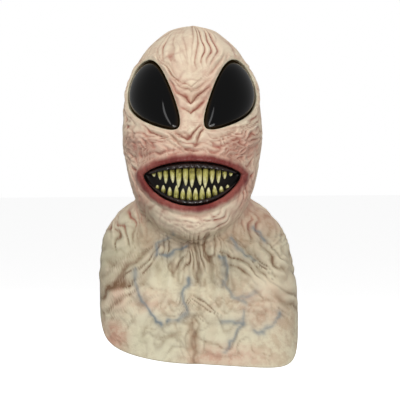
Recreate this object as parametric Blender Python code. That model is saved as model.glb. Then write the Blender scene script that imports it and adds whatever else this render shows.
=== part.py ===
"""Alien mask: an overhead latex hood with a bib, domed eyes, a dark mouth lining and two rows of peg teeth.

The face looks along -Y, +X is the wearer's left and +Z is up. The origin is the inside of the crown, where
the wearer's head carries the mask.
"""

import math
from collections import namedtuple

import bmesh
import bpy
from mathutils import Vector
from mathutils.bvhtree import BVHTree

# Driving dimensions, in metres
HOOD_HEIGHT = 0.490  # outside of the crown to the lowest point of the hem
HEAD_WIDTH = 0.200  # outside, across the cheeks
HEAD_DEPTH = 0.245  # outside, from the lips to the back of the head
BIB_WIDTH = 0.285  # outside, across the shoulders
BIB_DEPTH = 0.216  # outside, from the chest flap to the back flap
BIB_SHIFT = 0.008  # the bib hangs this far towards +X at its hem
LATEX_WALL = 0.003
FOLD_WIDTH = 0.010
FOLD_HEIGHT = 0.005
HEM_LIFT = 0.030  # the hem's rise at the corner on the -X side
HEM_DIP = 0.010  # the hem's fall at the corner on the +X side

EYE_LENGTH = 0.132
EYE_WIDTH = 0.076
EYE_ANGLE = math.radians(36)  # round the head from the nose to the eye's centre
EYE_TILT = math.radians(49)  # the long axis leans outwards at its top
EYE_DROP = 0.208  # of the hood's height, down to the eye's centre
EYE_TAPER = 0.42  # 0 is an oval, and more gives a narrower inner end
LENS_WALL = 0.0025
LENS_BULGE = 0.011  # the lens stands this far out of the skin
LENS_OVERLAP = 0.004  # the lens's flange behind the rim of its hole
LID_WIDTH = 0.011
LID_HEIGHT = 0.0032  # of the lid above its edges
LID_SINK = 0.0008  # the lid's edges lie this far inside the skin's wall

MOUTH_WIDTH = 0.136
MOUTH_DROP = 0.434  # of the hood's height, down to the corners
MOUTH_RISE = 0.020  # the corners up to the middle of the upper lip
MOUTH_FALL = 0.042  # the corners down to the middle of the lower lip
MOUTH_POINT = 1.35  # 1 is an oval, and more gives sharper corners
LIP_WIDTH = 0.012
LIP_HEIGHT = 0.0045  # half of the lip's thickness
LINING_WALL = 0.0025
LINING_DEPTH = 0.014  # from the back of the lips to the middle of the lining
GUM_FRONT_SHARE = 0.2  # of LIP_HEIGHT: the gum's front, ahead of the lips' middle
GUM_BACK_SHARE = 0.3  # of LINING_DEPTH: the gum's back, behind the lining's flange
GUM_END = 0.98  # of the mouth's half width: the teeth's rows end here
UPPER_GUM_HEIGHT = 0.009
LOWER_GUM_HEIGHT = 0.007
GUM_GAP = 0.0012  # between the gum's facets and the curved lip
TOOTH_WIDTH = 0.0072
TOOTH_SINK = 0.0040  # the teeth's middle line, behind the front of the gum
TOOTH_THICKNESS = 0.9  # of the tooth's width
TOOTH_TURN = 0.3  # of its length: over this a tooth turns from its facet's slope to level
TIP_DRIFT = 0.25  # of its length: the most that a tip follows the face

SEAT_GAP = 0.0004  # left between pieces that touch
LENS_GAP = 0.0007  # the same for the lenses, whose flanges follow the faceted skin

# Fineness of the faceted surfaces
COLUMNS = 40
ROWS_PER_SECTION = 2
FRONT_SHARE = 0.62  # 1 spaces the columns evenly, and less crowds them at the face
NORMAL_STEP = 0.01  # of a row or a turn, for the direction that the skin faces
EDGE_STEP = 0.02  # of a turn, for the direction of the lips' edge

# The main folds fade out near the holes, at the sides and at the hem, from the first value to the second.
EYE_FADE = (1.15, 1.6)  # in widths of the eye's outline
MOUTH_FADE = (1.3, 1.8)  # in widths of the mouth's outline
SIDE_FADE = (0.05, 0.45)  # how much the skin faces forwards
HEM_FADE = (0.0, 1.5)  # in rows from the hem
BEHIND_RATIO = 9.0  # stands for the outline's width at a point behind the eye
EYE_SEGMENTS = 24
MOUTH_SEGMENTS = 32
LIP_SIDES = 7
LID_SIDES = 6
TOOTH_SIDES = 6

# The hood is lofted through these sections, from the crown down. Lengths across are shares of half of
# HEAD_WIDTH or BIB_WIDTH, and lengths along are shares of HEAD_DEPTH or BIB_DEPTH, as the zone says.
# Drops are shares of HOOD_HEIGHT. square is the section's superellipse power, and sag is how late it
# climbs from its front to its sides.
Section = namedtuple(
    "Section", "name zone front_y front_drop side_x side_y side_drop back_y back_drop square sag"
)
SECTIONS = (
    Section("crown", "head", 0.000, 0.000, 0.000, 0.000, 0.000, 0.000, 0.000, 2.0, 2.0),
    Section("crown_cap", "head", -0.125, 0.010, 0.290, 0.000, 0.011, 0.125, 0.010, 2.0, 2.0),
    Section("crown_side", "head", -0.235, 0.032, 0.460, 0.000, 0.033, 0.235, 0.032, 2.0, 2.0),
    Section("forehead", "head", -0.325, 0.072, 0.640, 0.000, 0.067, 0.330, 0.072, 2.0, 2.0),
    Section("brow", "head", -0.392, 0.126, 0.800, -0.010, 0.116, 0.395, 0.126, 2.0, 2.0),
    Section("temple", "head", -0.432, 0.187, 0.915, -0.018, 0.174, 0.430, 0.190, 2.05, 2.0),
    Section("eye", "head", -0.462, 0.250, 0.975, -0.022, 0.232, 0.449, 0.250, 2.1, 2.0),
    Section("cheek", "head", -0.490, 0.310, 1.000, -0.025, 0.290, 0.449, 0.306, 2.15, 2.0),
    Section("upper_lip", "head", -0.517, 0.370, 1.000, -0.028, 0.343, 0.435, 0.358, 2.15, 2.0),
    Section("mouth", "head", -0.540, 0.430, 0.968, -0.030, 0.390, 0.405, 0.405, 2.1, 2.0),
    Section("lower_lip", "head", -0.550, 0.490, 0.930, -0.030, 0.431, 0.370, 0.446, 2.05, 2.0),
    Section("chin", "head", -0.547, 0.545, 0.890, -0.020, 0.466, 0.345, 0.480, 2.0, 1.9),
    Section("chin_tip", "head", -0.508, 0.590, 0.845, 0.000, 0.493, 0.322, 0.504, 2.0, 1.8),
    Section("under_chin", "head", -0.425, 0.613, 0.835, 0.030, 0.509, 0.315, 0.520, 2.0, 1.7),
    Section("throat", "head", -0.335, 0.625, 0.920, 0.060, 0.522, 0.315, 0.535, 2.0, 1.6),
    Section("neck", "bib", -0.329, 0.648, 0.735, 0.090, 0.540, 0.366, 0.553, 2.0, 1.6),
    Section("neck_base", "bib", -0.326, 0.684, 0.813, 0.100, 0.566, 0.389, 0.577, 2.05, 1.7),
    Section("collar", "bib", -0.352, 0.727, 0.886, 0.090, 0.595, 0.426, 0.610, 2.15, 2.0),
    Section("shoulder", "bib", -0.394, 0.775, 0.940, 0.065, 0.633, 0.463, 0.664, 2.4, 3.0),
    Section("chest", "bib", -0.435, 0.830, 0.972, 0.040, 0.683, 0.490, 0.735, 2.9, 5.5),
    Section("chest_low", "bib", -0.466, 0.900, 0.990, 0.020, 0.730, 0.505, 0.820, 3.5, 10.0),
    Section("hem", "bib", -0.486, 0.972, 1.000, 0.010, 0.777, 0.510, 0.905, 4.2, 15.0),
)
HEM_ROW = len(SECTIONS) - 1
NECK_ROW = 15  # where the bib's own shift and hem slope begin

# Main folds and bulges of the skin, each along a line seen from the front. x is a share of half of
# HEAD_WIDTH, and drop of HOOD_HEIGHT. wide and high are shares of FOLD_WIDTH and FOLD_HEIGHT, and a
# negative height is a dent. A mirrored one is on both sides.
Fold = namedtuple("Fold", "name x0 drop0 x1 drop1 wide high mirrored")
FOLDS = (
    Fold("crown_middle", 0.00, 0.020, 0.00, 0.070, 2.2, 0.6, False),
    Fold("brow_lobe", 0.22, 0.130, 0.62, 0.085, 1.7, 1.2, True),
    Fold("forehead_dip", 0.00, 0.110, 0.00, 0.210, 1.4, -1.2, False),
    Fold("nose_bridge", 0.00, 0.250, 0.00, 0.290, 1.6, 0.6, False),
    Fold("nose_base", 0.00, 0.335, 0.00, 0.350, 1.8, 1.0, False),
    Fold("cheek_bag", 0.45, 0.352, 0.82, 0.315, 1.5, 1.0, True),
    Fold("cheek_crease", 0.40, 0.400, 0.78, 0.385, 0.9, -0.6, True),
    Fold("jaw_pad", 0.62, 0.500, 0.78, 0.440, 1.6, 0.6, True),
    Fold("chin_ball", 0.00, 0.590, 0.00, 0.590, 2.6, 1.2, False),
    Fold("neck_cord_inner", 0.10, 0.650, 0.12, 0.790, 0.7, 1.0, True),
    Fold("neck_cord_middle", 0.27, 0.640, 0.36, 0.790, 0.7, 1.0, True),
    Fold("neck_cord_outer", 0.44, 0.620, 0.64, 0.780, 0.8, 1.0, True),
    Fold("neck_side_crease", 0.76, 0.560, 0.74, 0.660, 1.2, -0.8, True),
    Fold("shoulder_fold_high", 0.80, 0.640, 1.22, 0.690, 1.0, 0.8, True),
    Fold("shoulder_fold_low", 0.62, 0.700, 1.12, 0.770, 1.1, 1.0, True),
    Fold("chest_muscle", 0.40, 0.820, 0.95, 0.820, 3.0, 1.0, True),
    Fold("chest_border", 0.22, 0.865, 1.05, 0.870, 1.0, -0.6, True),
    Fold("breast_groove", 0.00, 0.800, 0.00, 0.970, 1.0, -1.0, False),
)

# Each tooth: its place along the mouth, as a share of the half width, and its length, as a share of the
# open height there. wide is a share of TOOTH_WIDTH, and lean is how far the tip goes towards +X, as a
# share of the length.
Tooth = namedtuple("Tooth", "at long wide lean")
UPPER_TEETH = (
    Tooth(-0.83, 0.50, 0.80, 0.10),
    Tooth(-0.70, 0.52, 0.90, 0.06),
    Tooth(-0.57, 0.60, 1.00, 0.04),
    Tooth(-0.43, 0.52, 1.04, 0.05),
    Tooth(-0.29, 0.64, 1.16, 0.02),
    Tooth(-0.145, 0.56, 1.14, 0.00),
    Tooth(0.00, 0.60, 1.18, -0.02),
    Tooth(0.145, 0.55, 1.14, 0.03),
    Tooth(0.29, 0.66, 1.16, -0.03),
    Tooth(0.43, 0.54, 1.06, -0.04),
    Tooth(0.57, 0.61, 1.00, -0.05),
    Tooth(0.70, 0.50, 0.90, -0.06),
    Tooth(0.83, 0.48, 0.80, -0.10),
)
LOWER_TEETH = (
    Tooth(-0.77, 0.34, 0.78, 0.06),
    Tooth(-0.64, 0.42, 0.90, 0.05),
    Tooth(-0.50, 0.38, 0.98, 0.02),
    Tooth(-0.36, 0.46, 1.04, 0.03),
    Tooth(-0.215, 0.37, 1.06, 0.00),
    Tooth(-0.07, 0.43, 1.10, 0.02),
    Tooth(0.07, 0.39, 1.08, -0.02),
    Tooth(0.215, 0.45, 1.06, 0.00),
    Tooth(0.36, 0.38, 1.02, -0.03),
    Tooth(0.50, 0.44, 0.98, -0.03),
    Tooth(0.64, 0.36, 0.90, -0.05),
    Tooth(0.77, 0.33, 0.78, -0.06),
)
# A tooth's outline: share of its length, and share of its width there.
TOOTH_PROFILE = ((0.00, 0.84), (0.20, 1.00), (0.55, 0.86), (0.84, 0.52), (0.97, 0.22))

Finish = namedtuple("Finish", "colour roughness metallic")
FINISHES = {
    "latex": Finish((0.68, 0.55, 0.44), 0.55, 0.0),
    "lens": Finish((0.012, 0.013, 0.014), 0.08, 0.0),
    "mouth": Finish((0.020, 0.016, 0.015), 0.20, 0.0),
    "tooth": Finish((0.55, 0.52, 0.20), 0.30, 0.0),
}


def clear_scene():
    for item in list(bpy.data.objects):
        bpy.data.objects.remove(item, do_unlink=True)


def make_material(name):
    finish = FINISHES[name]
    material = bpy.data.materials.new(name)
    material.use_nodes = True
    shader = material.node_tree.nodes["Principled BSDF"]
    shader.inputs["Base Color"].default_value = (*finish.colour, 1.0)
    shader.inputs["Roughness"].default_value = finish.roughness
    shader.inputs["Metallic"].default_value = finish.metallic
    material.diffuse_color = (*finish.colour, 1.0)
    return material


def smooth_step(low, high, value):
    share = min(1.0, max(0.0, (value - low) / (high - low)))
    return share * share * (3 - 2 * share)


# The hood's own surface


def section_lengths(section):
    """The section's columns in metres, in the order front y, z, side x, y, z, back y, z, square, sag."""
    half_width = (HEAD_WIDTH if section.zone == "head" else BIB_WIDTH) / 2
    depth = HEAD_DEPTH if section.zone == "head" else BIB_DEPTH
    return (
        section.front_y * depth,
        LATEX_WALL - section.front_drop * HOOD_HEIGHT,
        section.side_x * half_width,
        section.side_y * depth,
        LATEX_WALL - section.side_drop * HOOD_HEIGHT,
        section.back_y * depth,
        LATEX_WALL - section.back_drop * HOOD_HEIGHT,
        section.square,
        section.sag,
    )


def section_ladder():
    """All sections in metres, with one more before the crown, for a round dome, and one past the hem."""
    rows = [section_lengths(section) for section in SECTIONS]
    front_y, front_z, side_x, side_y, side_z, back_y, back_z, square, sag = rows[1]
    before = (-front_y, front_z, -side_x, side_y, side_z, -back_y, back_z, square, sag)
    after = tuple(2 * last - previous for last, previous in zip(rows[-1], rows[-2]))
    return [before, *rows, after]


LADDER = section_ladder()


def section_at(row):
    """The section's columns between rows, on a smooth curve through the table."""
    step = min(int(row), HEM_ROW - 1)
    t = row - step
    weights = (
        -0.5 * t + t * t - 0.5 * t**3,
        1 - 2.5 * t * t + 1.5 * t**3,
        0.5 * t + 2 * t * t - 1.5 * t**3,
        -0.5 * t * t + 0.5 * t**3,
    )
    columns = zip(*LADDER[step : step + 4])
    return [sum(weight * value for weight, value in zip(weights, column)) for column in columns]


def hood_point(angle, row):
    """A point of the hood before its folds. The angle is 0 at the nose, and positive towards +X."""
    front_y, front_z, side_x, side_y, side_z, back_y, back_z, square, sag = section_at(row)
    at_front = abs(angle) <= math.pi / 2
    end_y, end_z = (front_y, front_z) if at_front else (back_y, back_z)
    across, along = max(abs(side_x), 1e-6), max(abs(end_y - side_y), 1e-6)
    sine, cosine = math.sin(angle), math.cos(angle)
    reach = (abs(sine / across) ** square + abs(cosine / along) ** square) ** (-1 / square)
    in_bib = max(0.0, (row - NECK_ROW) / (HEM_ROW - NECK_ROW))
    z = end_z + (side_z - end_z) * abs(sine) ** sag
    x = reach * sine
    if at_front:
        share = x / (BIB_WIDTH / 2)
        z += in_bib**2 * (HEM_LIFT * max(0.0, -share) ** 2 - HEM_DIP * max(0.0, share))
    return Vector((x + BIB_SHIFT * in_bib, side_y - reach * cosine, z))


def hood_normal(angle, row):
    step = NORMAL_STEP
    if row < step:
        return Vector((0, 0, 1))
    around = hood_point(angle + step, row) - hood_point(angle - step, row)
    down = hood_point(angle, min(row + step, HEM_ROW)) - hood_point(angle, row - step)
    return down.cross(around).normalized()


def row_at_drop(angle, drop):
    """The row where the hood is this share of its height below the crown, at this angle."""
    target = LATEX_WALL - drop * HOOD_HEIGHT
    low, high = 0.0, float(NECK_ROW)
    for _ in range(40):
        middle = (low + high) / 2
        if hood_point(angle, middle).z > target:
            low = middle
        else:
            high = middle
    return (low + high) / 2


def line_distance(x, z, x0, z0, x1, z1):
    """The distance from a point to a line's stretch, all seen from the front."""
    along_x, along_z = x1 - x0, z1 - z0
    length_squared = max(along_x**2 + along_z**2, 1e-12)
    share = ((x - x0) * along_x + (z - z0) * along_z) / length_squared
    share = min(1.0, max(0.0, share))
    return math.hypot(x - x0 - share * along_x, z - z0 - share * along_z)


def fold_height(point):
    """How far the folds lift this point of the front."""
    half = HEAD_WIDTH / 2
    total = 0.0
    for fold in FOLDS:
        z0 = LATEX_WALL - fold.drop0 * HOOD_HEIGHT
        z1 = LATEX_WALL - fold.drop1 * HOOD_HEIGHT
        for side in (1, -1) if fold.mirrored else (1,):
            away = line_distance(point.x, point.z, side * fold.x0 * half, z0, side * fold.x1 * half, z1)
            total += fold.high * FOLD_HEIGHT * math.exp(-((away / (fold.wide * FOLD_WIDTH)) ** 2))
    return total


# The eyes


class EyeFrame:
    """Where one eye sits: its centre on the skin, the way out, and its long and short axes."""

    def __init__(self, side):
        angle = side * EYE_ANGLE
        row = row_at_drop(angle, EYE_DROP)
        self.centre = hood_point(angle, row)
        self.out = hood_normal(angle, row)
        up = (Vector((0, 0, 1)) - self.out * self.out.z).normalized()
        aside = side * up.cross(self.out)
        self.long_axis = up * math.cos(EYE_TILT) + aside * math.sin(EYE_TILT)
        self.short_axis = aside * math.cos(EYE_TILT) - up * math.sin(EYE_TILT)

    def outline(self, turn, margin=0.0):
        """The outline's two lengths along the eye's axes, grown by a margin."""
        full_width = max(math.sin(t) * (1 + EYE_TAPER * math.cos(t)) for t in TURNS)
        width = math.sin(turn) * (1 + EYE_TAPER * math.cos(turn)) / full_width
        return (EYE_LENGTH / 2 + margin) * math.cos(turn), (EYE_WIDTH / 2 + margin) * width

    def place(self, along, across, out=0.0):
        return self.centre + self.long_axis * along + self.short_axis * across + self.out * out

    def ratio(self, point):
        """0 at the eye's centre, 1 on its outline, and more outside it."""
        offset = point - self.centre
        if offset.dot(self.out) < -EYE_LENGTH / 2:
            return BEHIND_RATIO
        along = offset.dot(self.long_axis) / (EYE_LENGTH / 2)
        across = offset.dot(self.short_axis) / (EYE_WIDTH / 2)
        return math.hypot(along, across / (1 + EYE_TAPER * max(-1.0, min(1.0, along))))


TURNS = [2 * math.pi * step / 96 for step in range(96)]


def turns(count):
    return [2 * math.pi * step / count for step in range(count)]


# The mouth, seen from the front


def mouth_point(turn, margin=0.0):
    """(x, z) on the lips' inner edge, moved outwards by a margin. Turn 0 is at +X."""
    x, z = mouth_edge(turn)
    ahead_x, ahead_z = mouth_edge(turn + EDGE_STEP)
    behind_x, behind_z = mouth_edge(turn - EDGE_STEP)
    tangent = Vector((ahead_x - behind_x, ahead_z - behind_z)).normalized()
    return x + margin * tangent.y, z - margin * tangent.x


def mouth_edge(turn):
    height = MOUTH_RISE if math.sin(turn) > 0 else MOUTH_FALL
    lift = math.copysign(abs(math.sin(turn)) ** MOUTH_POINT, math.sin(turn))
    corner_z = LATEX_WALL - MOUTH_DROP * HOOD_HEIGHT
    return MOUTH_WIDTH / 2 * math.cos(turn), corner_z + height * lift


def mouth_ratio(point):
    """0 in the middle of the mouth, about 1 on its edge, and more outside it."""
    corner_z = LATEX_WALL - MOUTH_DROP * HOOD_HEIGHT
    height = MOUTH_RISE if point.z > corner_z else MOUTH_FALL
    return math.hypot(point.x / (MOUTH_WIDTH / 2), (point.z - corner_z) / height)


def open_height(share):
    """The mouth's height between its gums, at this share of its half width."""
    turn = math.acos(share)
    rise = (MOUTH_RISE + MOUTH_FALL) * math.sin(turn) ** MOUTH_POINT
    return rise - UPPER_GUM_HEIGHT - LOWER_GUM_HEIGHT


# Building meshes


def add_object(name, mesh, material_name):
    item = bpy.data.objects.new(name, mesh)
    bpy.context.scene.collection.objects.link(item)
    if material_name:
        mesh.materials.append(MATERIALS[material_name])
    return item


def loft(name, loops, material_name=None, ring=False):
    """Faces between loops of equal counts. A ring joins its last loop to its first, and others get caps."""
    sheet = bmesh.new()
    rows = [[sheet.verts.new(point) for point in loop] for loop in loops]
    pairs = list(zip(rows, rows[1:] + rows[:1] if ring else rows[1:]))
    for first, second in pairs:
        for start in range(len(first)):
            end = (start + 1) % len(first)
            sheet.faces.new((first[start], first[end], second[end], second[start]))
    if not ring:
        sheet.faces.new(rows[0])
        sheet.faces.new(rows[-1])
    bmesh.ops.recalc_face_normals(sheet, faces=sheet.faces)
    mesh = bpy.data.meshes.new(name)
    sheet.to_mesh(mesh)
    sheet.free()
    mesh.shade_smooth()
    mesh.set_sharp_from_angle(angle=math.radians(50))
    return add_object(name, mesh, material_name)


def hidden_helper(item):
    item.hide_render = True
    item.display_type = "WIRE"
    return item


def cut_with(item, cutter, operation="DIFFERENCE"):
    boolean = item.modifiers.new(cutter.name, "BOOLEAN")
    boolean.object = hidden_helper(cutter)
    boolean.operation = operation


def surface_tree(item):
    """The item's shown surface as a tree that rays can be cast at."""
    return BVHTree.FromObject(item, bpy.context.evaluated_depsgraph_get())


def column_angle(step):
    """Columns crowd towards the face, and lie further apart behind."""
    share = 2 * step / COLUMNS - 1
    return math.pi * (FRONT_SHARE * share + (1 - FRONT_SHARE) * share**3)


def skin_vertex(angle, row, eyes):
    """A point of the outer skin, with its folds, which fade out at the eyes and the lips."""
    point, normal = hood_point(angle, row), hood_normal(angle, row)
    clear_of_eyes = min(smooth_step(*EYE_FADE, eye.ratio(point)) for eye in eyes)
    clear_of_mouth = smooth_step(*MOUTH_FADE, mouth_ratio(point)) if normal.y < 0 else 1.0
    facing = smooth_step(*SIDE_FADE, -normal.y)
    hem_fade = smooth_step(*HEM_FADE, HEM_ROW - row)
    lift = fold_height(point) * clear_of_eyes * clear_of_mouth * facing * hem_fade
    return point + normal * lift


def make_skin(eyes):
    """The hood and bib as one sheet of latex, from the crown to the hem."""
    sheet = bmesh.new()
    crown = sheet.verts.new(hood_point(0, 0))
    rows = []
    for step in range(1, HEM_ROW * ROWS_PER_SECTION + 1):
        row = step / ROWS_PER_SECTION
        angles = [column_angle(column) for column in range(COLUMNS)]
        rows.append([sheet.verts.new(skin_vertex(angle, row, eyes)) for angle in angles])
    for column in range(COLUMNS):
        beside = (column + 1) % COLUMNS
        sheet.faces.new((crown, rows[0][column], rows[0][beside]))
        for upper, lower in zip(rows, rows[1:]):
            sheet.faces.new((upper[column], lower[column], lower[beside], upper[beside]))
    bmesh.ops.recalc_face_normals(sheet, faces=sheet.faces)
    mesh = bpy.data.meshes.new("skin")
    sheet.to_mesh(mesh)
    sheet.free()
    mesh.shade_smooth()
    skin = add_object("skin", mesh, "latex")
    wall = skin.modifiers.new("latex wall", "SOLIDIFY")
    wall.thickness = LATEX_WALL
    wall.offset = -1
    return skin


def make_lens(name, eye, skin_tree):
    """A domed lens. Its flange lies behind the rim of the hole, and its middle stands out through it."""
    half_width = EYE_WIDTH / 2
    rim_share = (half_width + LENS_OVERLAP) / half_width
    # Share of the outline, and height of the front above the flange.
    profile = (
        (rim_share, 0.0),
        (0.955, 0.0),
        (0.870, LATEX_WALL + 0.22 * LENS_BULGE),
        (0.58, LATEX_WALL + 0.75 * LENS_BULGE),
        (0.20, LATEX_WALL + LENS_BULGE),
    )

    def lens_loop(share, height):
        points = []
        for turn in turns(EYE_SEGMENTS):
            along, across = eye.outline(turn)
            start = eye.place(share * along, share * across, -EYE_LENGTH / 2)
            skin_back = skin_tree.ray_cast(start, eye.out)[0]
            points.append(skin_back + eye.out * (height - LENS_GAP))
        return points

    front = [lens_loop(share, height) for share, height in profile]
    back = [lens_loop(share, height - LENS_WALL) for share, height in profile]
    # From the front's middle out to the flange's edge and back to the middle behind.
    return loft(name, front[::-1] + back, "lens")


def make_eye_cutter(name, eye):
    loops = []
    for out in (-EYE_LENGTH / 2, EYE_LENGTH / 4):
        loops.append([eye.place(*eye.outline(turn), out) for turn in turns(EYE_SEGMENTS)])
    return loft(name, loops)


def make_lid(name, eye, skin_tree):
    """The raised rim of the eye's hole. Its edges are sunk into the skin's wall."""

    def lid_point(turn, margin):
        start = eye.place(*eye.outline(turn, margin), EYE_LENGTH / 2)
        return skin_tree.ray_cast(start, -eye.out)[0]

    loops = []
    for turn in turns(EYE_SEGMENTS):
        inner, outer = lid_point(turn, LENS_GAP), lid_point(turn, LENS_GAP + LID_WIDTH)
        middle, across = (inner + outer) / 2, (outer - inner) / 2
        section = []
        for side in turns(LID_SIDES):
            rise = math.sin(side) * (LID_HEIGHT if math.sin(side) > 0 else LID_SINK)
            section.append(middle + across * math.cos(side) + eye.out * (rise - LID_SINK))
        loops.append(section)
    return loft(name, loops, ring=True)


class FaceFront:
    """Gives the front of the skin's middle layer, for whatever follows the face."""

    def __init__(self, sheet_tree):
        self.sheet_tree = sheet_tree

    def at(self, x, z, back=0.0):
        hit = self.sheet_tree.ray_cast(Vector((x, -2 * HEAD_DEPTH, z)), Vector((0, 1, 0)))[0]
        return Vector((x, hit.y + LATEX_WALL / 2 + back, z))


def make_lips(face):
    """The lips' thick ring, which covers the edge of the mouth's hole."""
    loops = []
    for turn in turns(MOUTH_SEGMENTS):
        inner = face.at(*mouth_point(turn))
        outer = face.at(*mouth_point(turn, LIP_WIDTH))
        middle, across = (inner + outer) / 2, (outer - inner) / 2
        out = Vector((0, -LIP_HEIGHT, 0))
        loops.append(
            [middle + across * math.cos(side) + out * math.sin(side) for side in turns(LIP_SIDES)]
        )
    return loft("lips", loops, ring=True)


def make_mouth_cutter(face):
    """Cuts the skin along the middle of the lips."""
    loops = []
    for back in (-HEAD_DEPTH / 4, HEAD_DEPTH / 6):
        places = [mouth_point(turn, LIP_WIDTH / 2) for turn in turns(MOUTH_SEGMENTS)]
        loops.append([face.at(x, z, back) for x, z in places])
    return loft("mouth_cutter", loops)


def make_lining(face):
    """The dark wall behind the lips. It seats on their back and sinks towards its middle."""
    seat = LIP_HEIGHT + SEAT_GAP
    centre_z = mouth_point(0)[1] + (MOUTH_RISE - MOUTH_FALL) / 2
    # Share of the lips' width, share of the way to the mouth's middle, and depth behind the lips.
    profile = (
        (0.80, 0.00, 0.0),
        (0.00, 0.00, 0.0),
        (0.00, 0.07, 0.65 * LINING_DEPTH),
        (0.00, 0.35, 0.92 * LINING_DEPTH),
        (0.00, 0.75, LINING_DEPTH),
    )

    def lining_loop(lip_share, inwards, depth, wall):
        points = []
        for turn in turns(MOUTH_SEGMENTS):
            x, z = mouth_point(turn)
            point = face.at(x * (1 - inwards), z + (centre_z - z) * inwards, seat + depth + wall)
            across_lip = face.at(*mouth_point(turn, LIP_WIDTH)) - face.at(x, z)
            points.append(point + across_lip * lip_share)
        return points

    front = [lining_loop(*row, 0.0) for row in profile]
    back = [lining_loop(*row, LINING_WALL) for row in profile]
    return loft("mouth_lining", front[::-1] + back, "mouth")


def jaw_edges(teeth):
    """Where the gum's facets begin and end, halfway between neighbouring teeth."""
    places = [tooth.at for tooth in teeth]
    middles = [(a + b) / 2 for a, b in zip(places, places[1:])]
    return [2 * places[0] - middles[0], *middles, 2 * places[-1] - middles[-1]]


def gum_turn(share, upper):
    """The mouth's turn at this share of its half width, on its upper or lower edge."""
    turn = math.acos(max(-GUM_END, min(GUM_END, share)))
    return turn if upper else -turn


def gum_height(share, upper):
    """The gum narrows towards the corners of the mouth."""
    full = UPPER_GUM_HEIGHT if upper else LOWER_GUM_HEIGHT
    return full * math.sin(math.acos(max(-GUM_END, min(GUM_END, share)))) ** 0.8


def gum_corner(face, share, upper, inner, back):
    """A corner of the gum here. Its inner edge carries the teeth, and its outer edge is at the lip."""
    margin = -gum_height(share, upper) if inner else -GUM_GAP
    x, z = mouth_point(gum_turn(share, upper), margin)
    front_x, front_z = mouth_point(gum_turn(share, upper))
    start = face.at(front_x, front_z).y
    return Vector((x, start + back, z))


def make_gum(name, face, teeth, upper):
    """A bar along one edge of the mouth, with one flat facet for each tooth."""
    loops = []
    for share in jaw_edges(teeth):
        front = -GUM_FRONT_SHARE * LIP_HEIGHT
        back = LIP_HEIGHT + LINING_WALL + GUM_BACK_SHARE * LINING_DEPTH
        loops.append(
            [
                gum_corner(face, share, upper, True, front),
                gum_corner(face, share, upper, True, back),
                gum_corner(face, share, upper, False, back),
                gum_corner(face, share, upper, False, front),
            ]
        )
    return loft(name, loops)


def make_tooth(name, face, tooth, edges, upper):
    """A peg tooth. Its flat root lies on its own facet of the gum, and its tip points across the mouth."""
    start = gum_corner(face, edges[0], upper, True, TOOTH_SINK)
    end = gum_corner(face, edges[1], upper, True, TOOTH_SINK)
    root = (start + end) / 2
    along = Vector((end.x - start.x, 0, end.z - start.z)).normalized()
    away = Vector((along.z, 0, -along.x))
    down = -1 if upper else 1
    if away.z * down < 0:
        away = -away
    length = tooth.long * open_height(tooth.at)
    tip = root + Vector((tooth.lean * length, 0, down * length))
    tip_back = face.at(tip.x, tip.z).y - face.at(root.x, root.z).y
    tip.y += max(-TIP_DRIFT, min(TIP_DRIFT, tip_back / length)) * length
    root += away * SEAT_GAP
    loops = []
    for share, girth in TOOTH_PROFILE:
        centre = root.lerp(tip, share)
        half = girth * tooth.wide * TOOTH_WIDTH / 2
        upright = smooth_step(0.0, TOOTH_TURN, share)
        side_way = along.lerp(Vector((1, 0, 0)), upright).normalized()
        front_way = Vector((0, TOOTH_THICKNESS, 0))
        loops.append(
            [
                centre + side_way * (half * math.cos(turn)) + front_way * (half * math.sin(turn))
                for turn in turns(TOOTH_SIDES)
            ]
        )
    return loft(name, loops, "tooth")


def make_jaw(label, face, teeth, upper):
    edges = jaw_edges(teeth)
    for number, tooth in enumerate(teeth):
        make_tooth(f"{label}_tooth_{number + 1:02d}", face, tooth, edges[number : number + 2], upper)


def main():
    eyes = {"eye_right": EyeFrame(-1), "eye_left": EyeFrame(1)}
    skin = make_skin(eyes.values())
    bpy.context.view_layer.update()
    skin_tree = surface_tree(skin)
    face = FaceFront(skin_tree)
    for name, eye in eyes.items():
        make_lens(name, eye, skin_tree)
        cut_with(skin, make_eye_cutter(f"{name}_cutter", eye))
        cut_with(skin, make_lid(f"{name}_lid", eye, skin_tree), "UNION")
    cut_with(skin, make_mouth_cutter(face))
    cut_with(skin, make_lips(face), "UNION")
    lining = make_lining(face)
    for label, teeth, upper in (("upper", UPPER_TEETH, True), ("lower", LOWER_TEETH, False)):
        cut_with(lining, make_gum(f"{label}_gum", face, teeth, upper), "UNION")
        make_jaw(label, face, teeth, upper)


clear_scene()
MATERIALS = {name: make_material(name) for name in FINISHES}
main()
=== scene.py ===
# %% [markdown]
# # An overhead alien mask in painted latex
#
# The real thing is one sheet of cast latex, about 3 mm thick, pulled over the head. Its skin is painted,
# two glossy lenses sit behind the eye holes, and a dark tray with teeth sits behind the lips.
#
# The frame gives the plain hood and its exact place. This script makes the same hood again with far more
# points, so that each fold, wrinkle and vein is real geometry, and then paints it from what the shape itself
# says: creases are darker and redder than the crests of the folds. The dark, red creases are partly a wash
# and partly painted shade, and the pale crests are partly dry-brushing and partly a painted highlight.

import math
from collections import namedtuple

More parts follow.
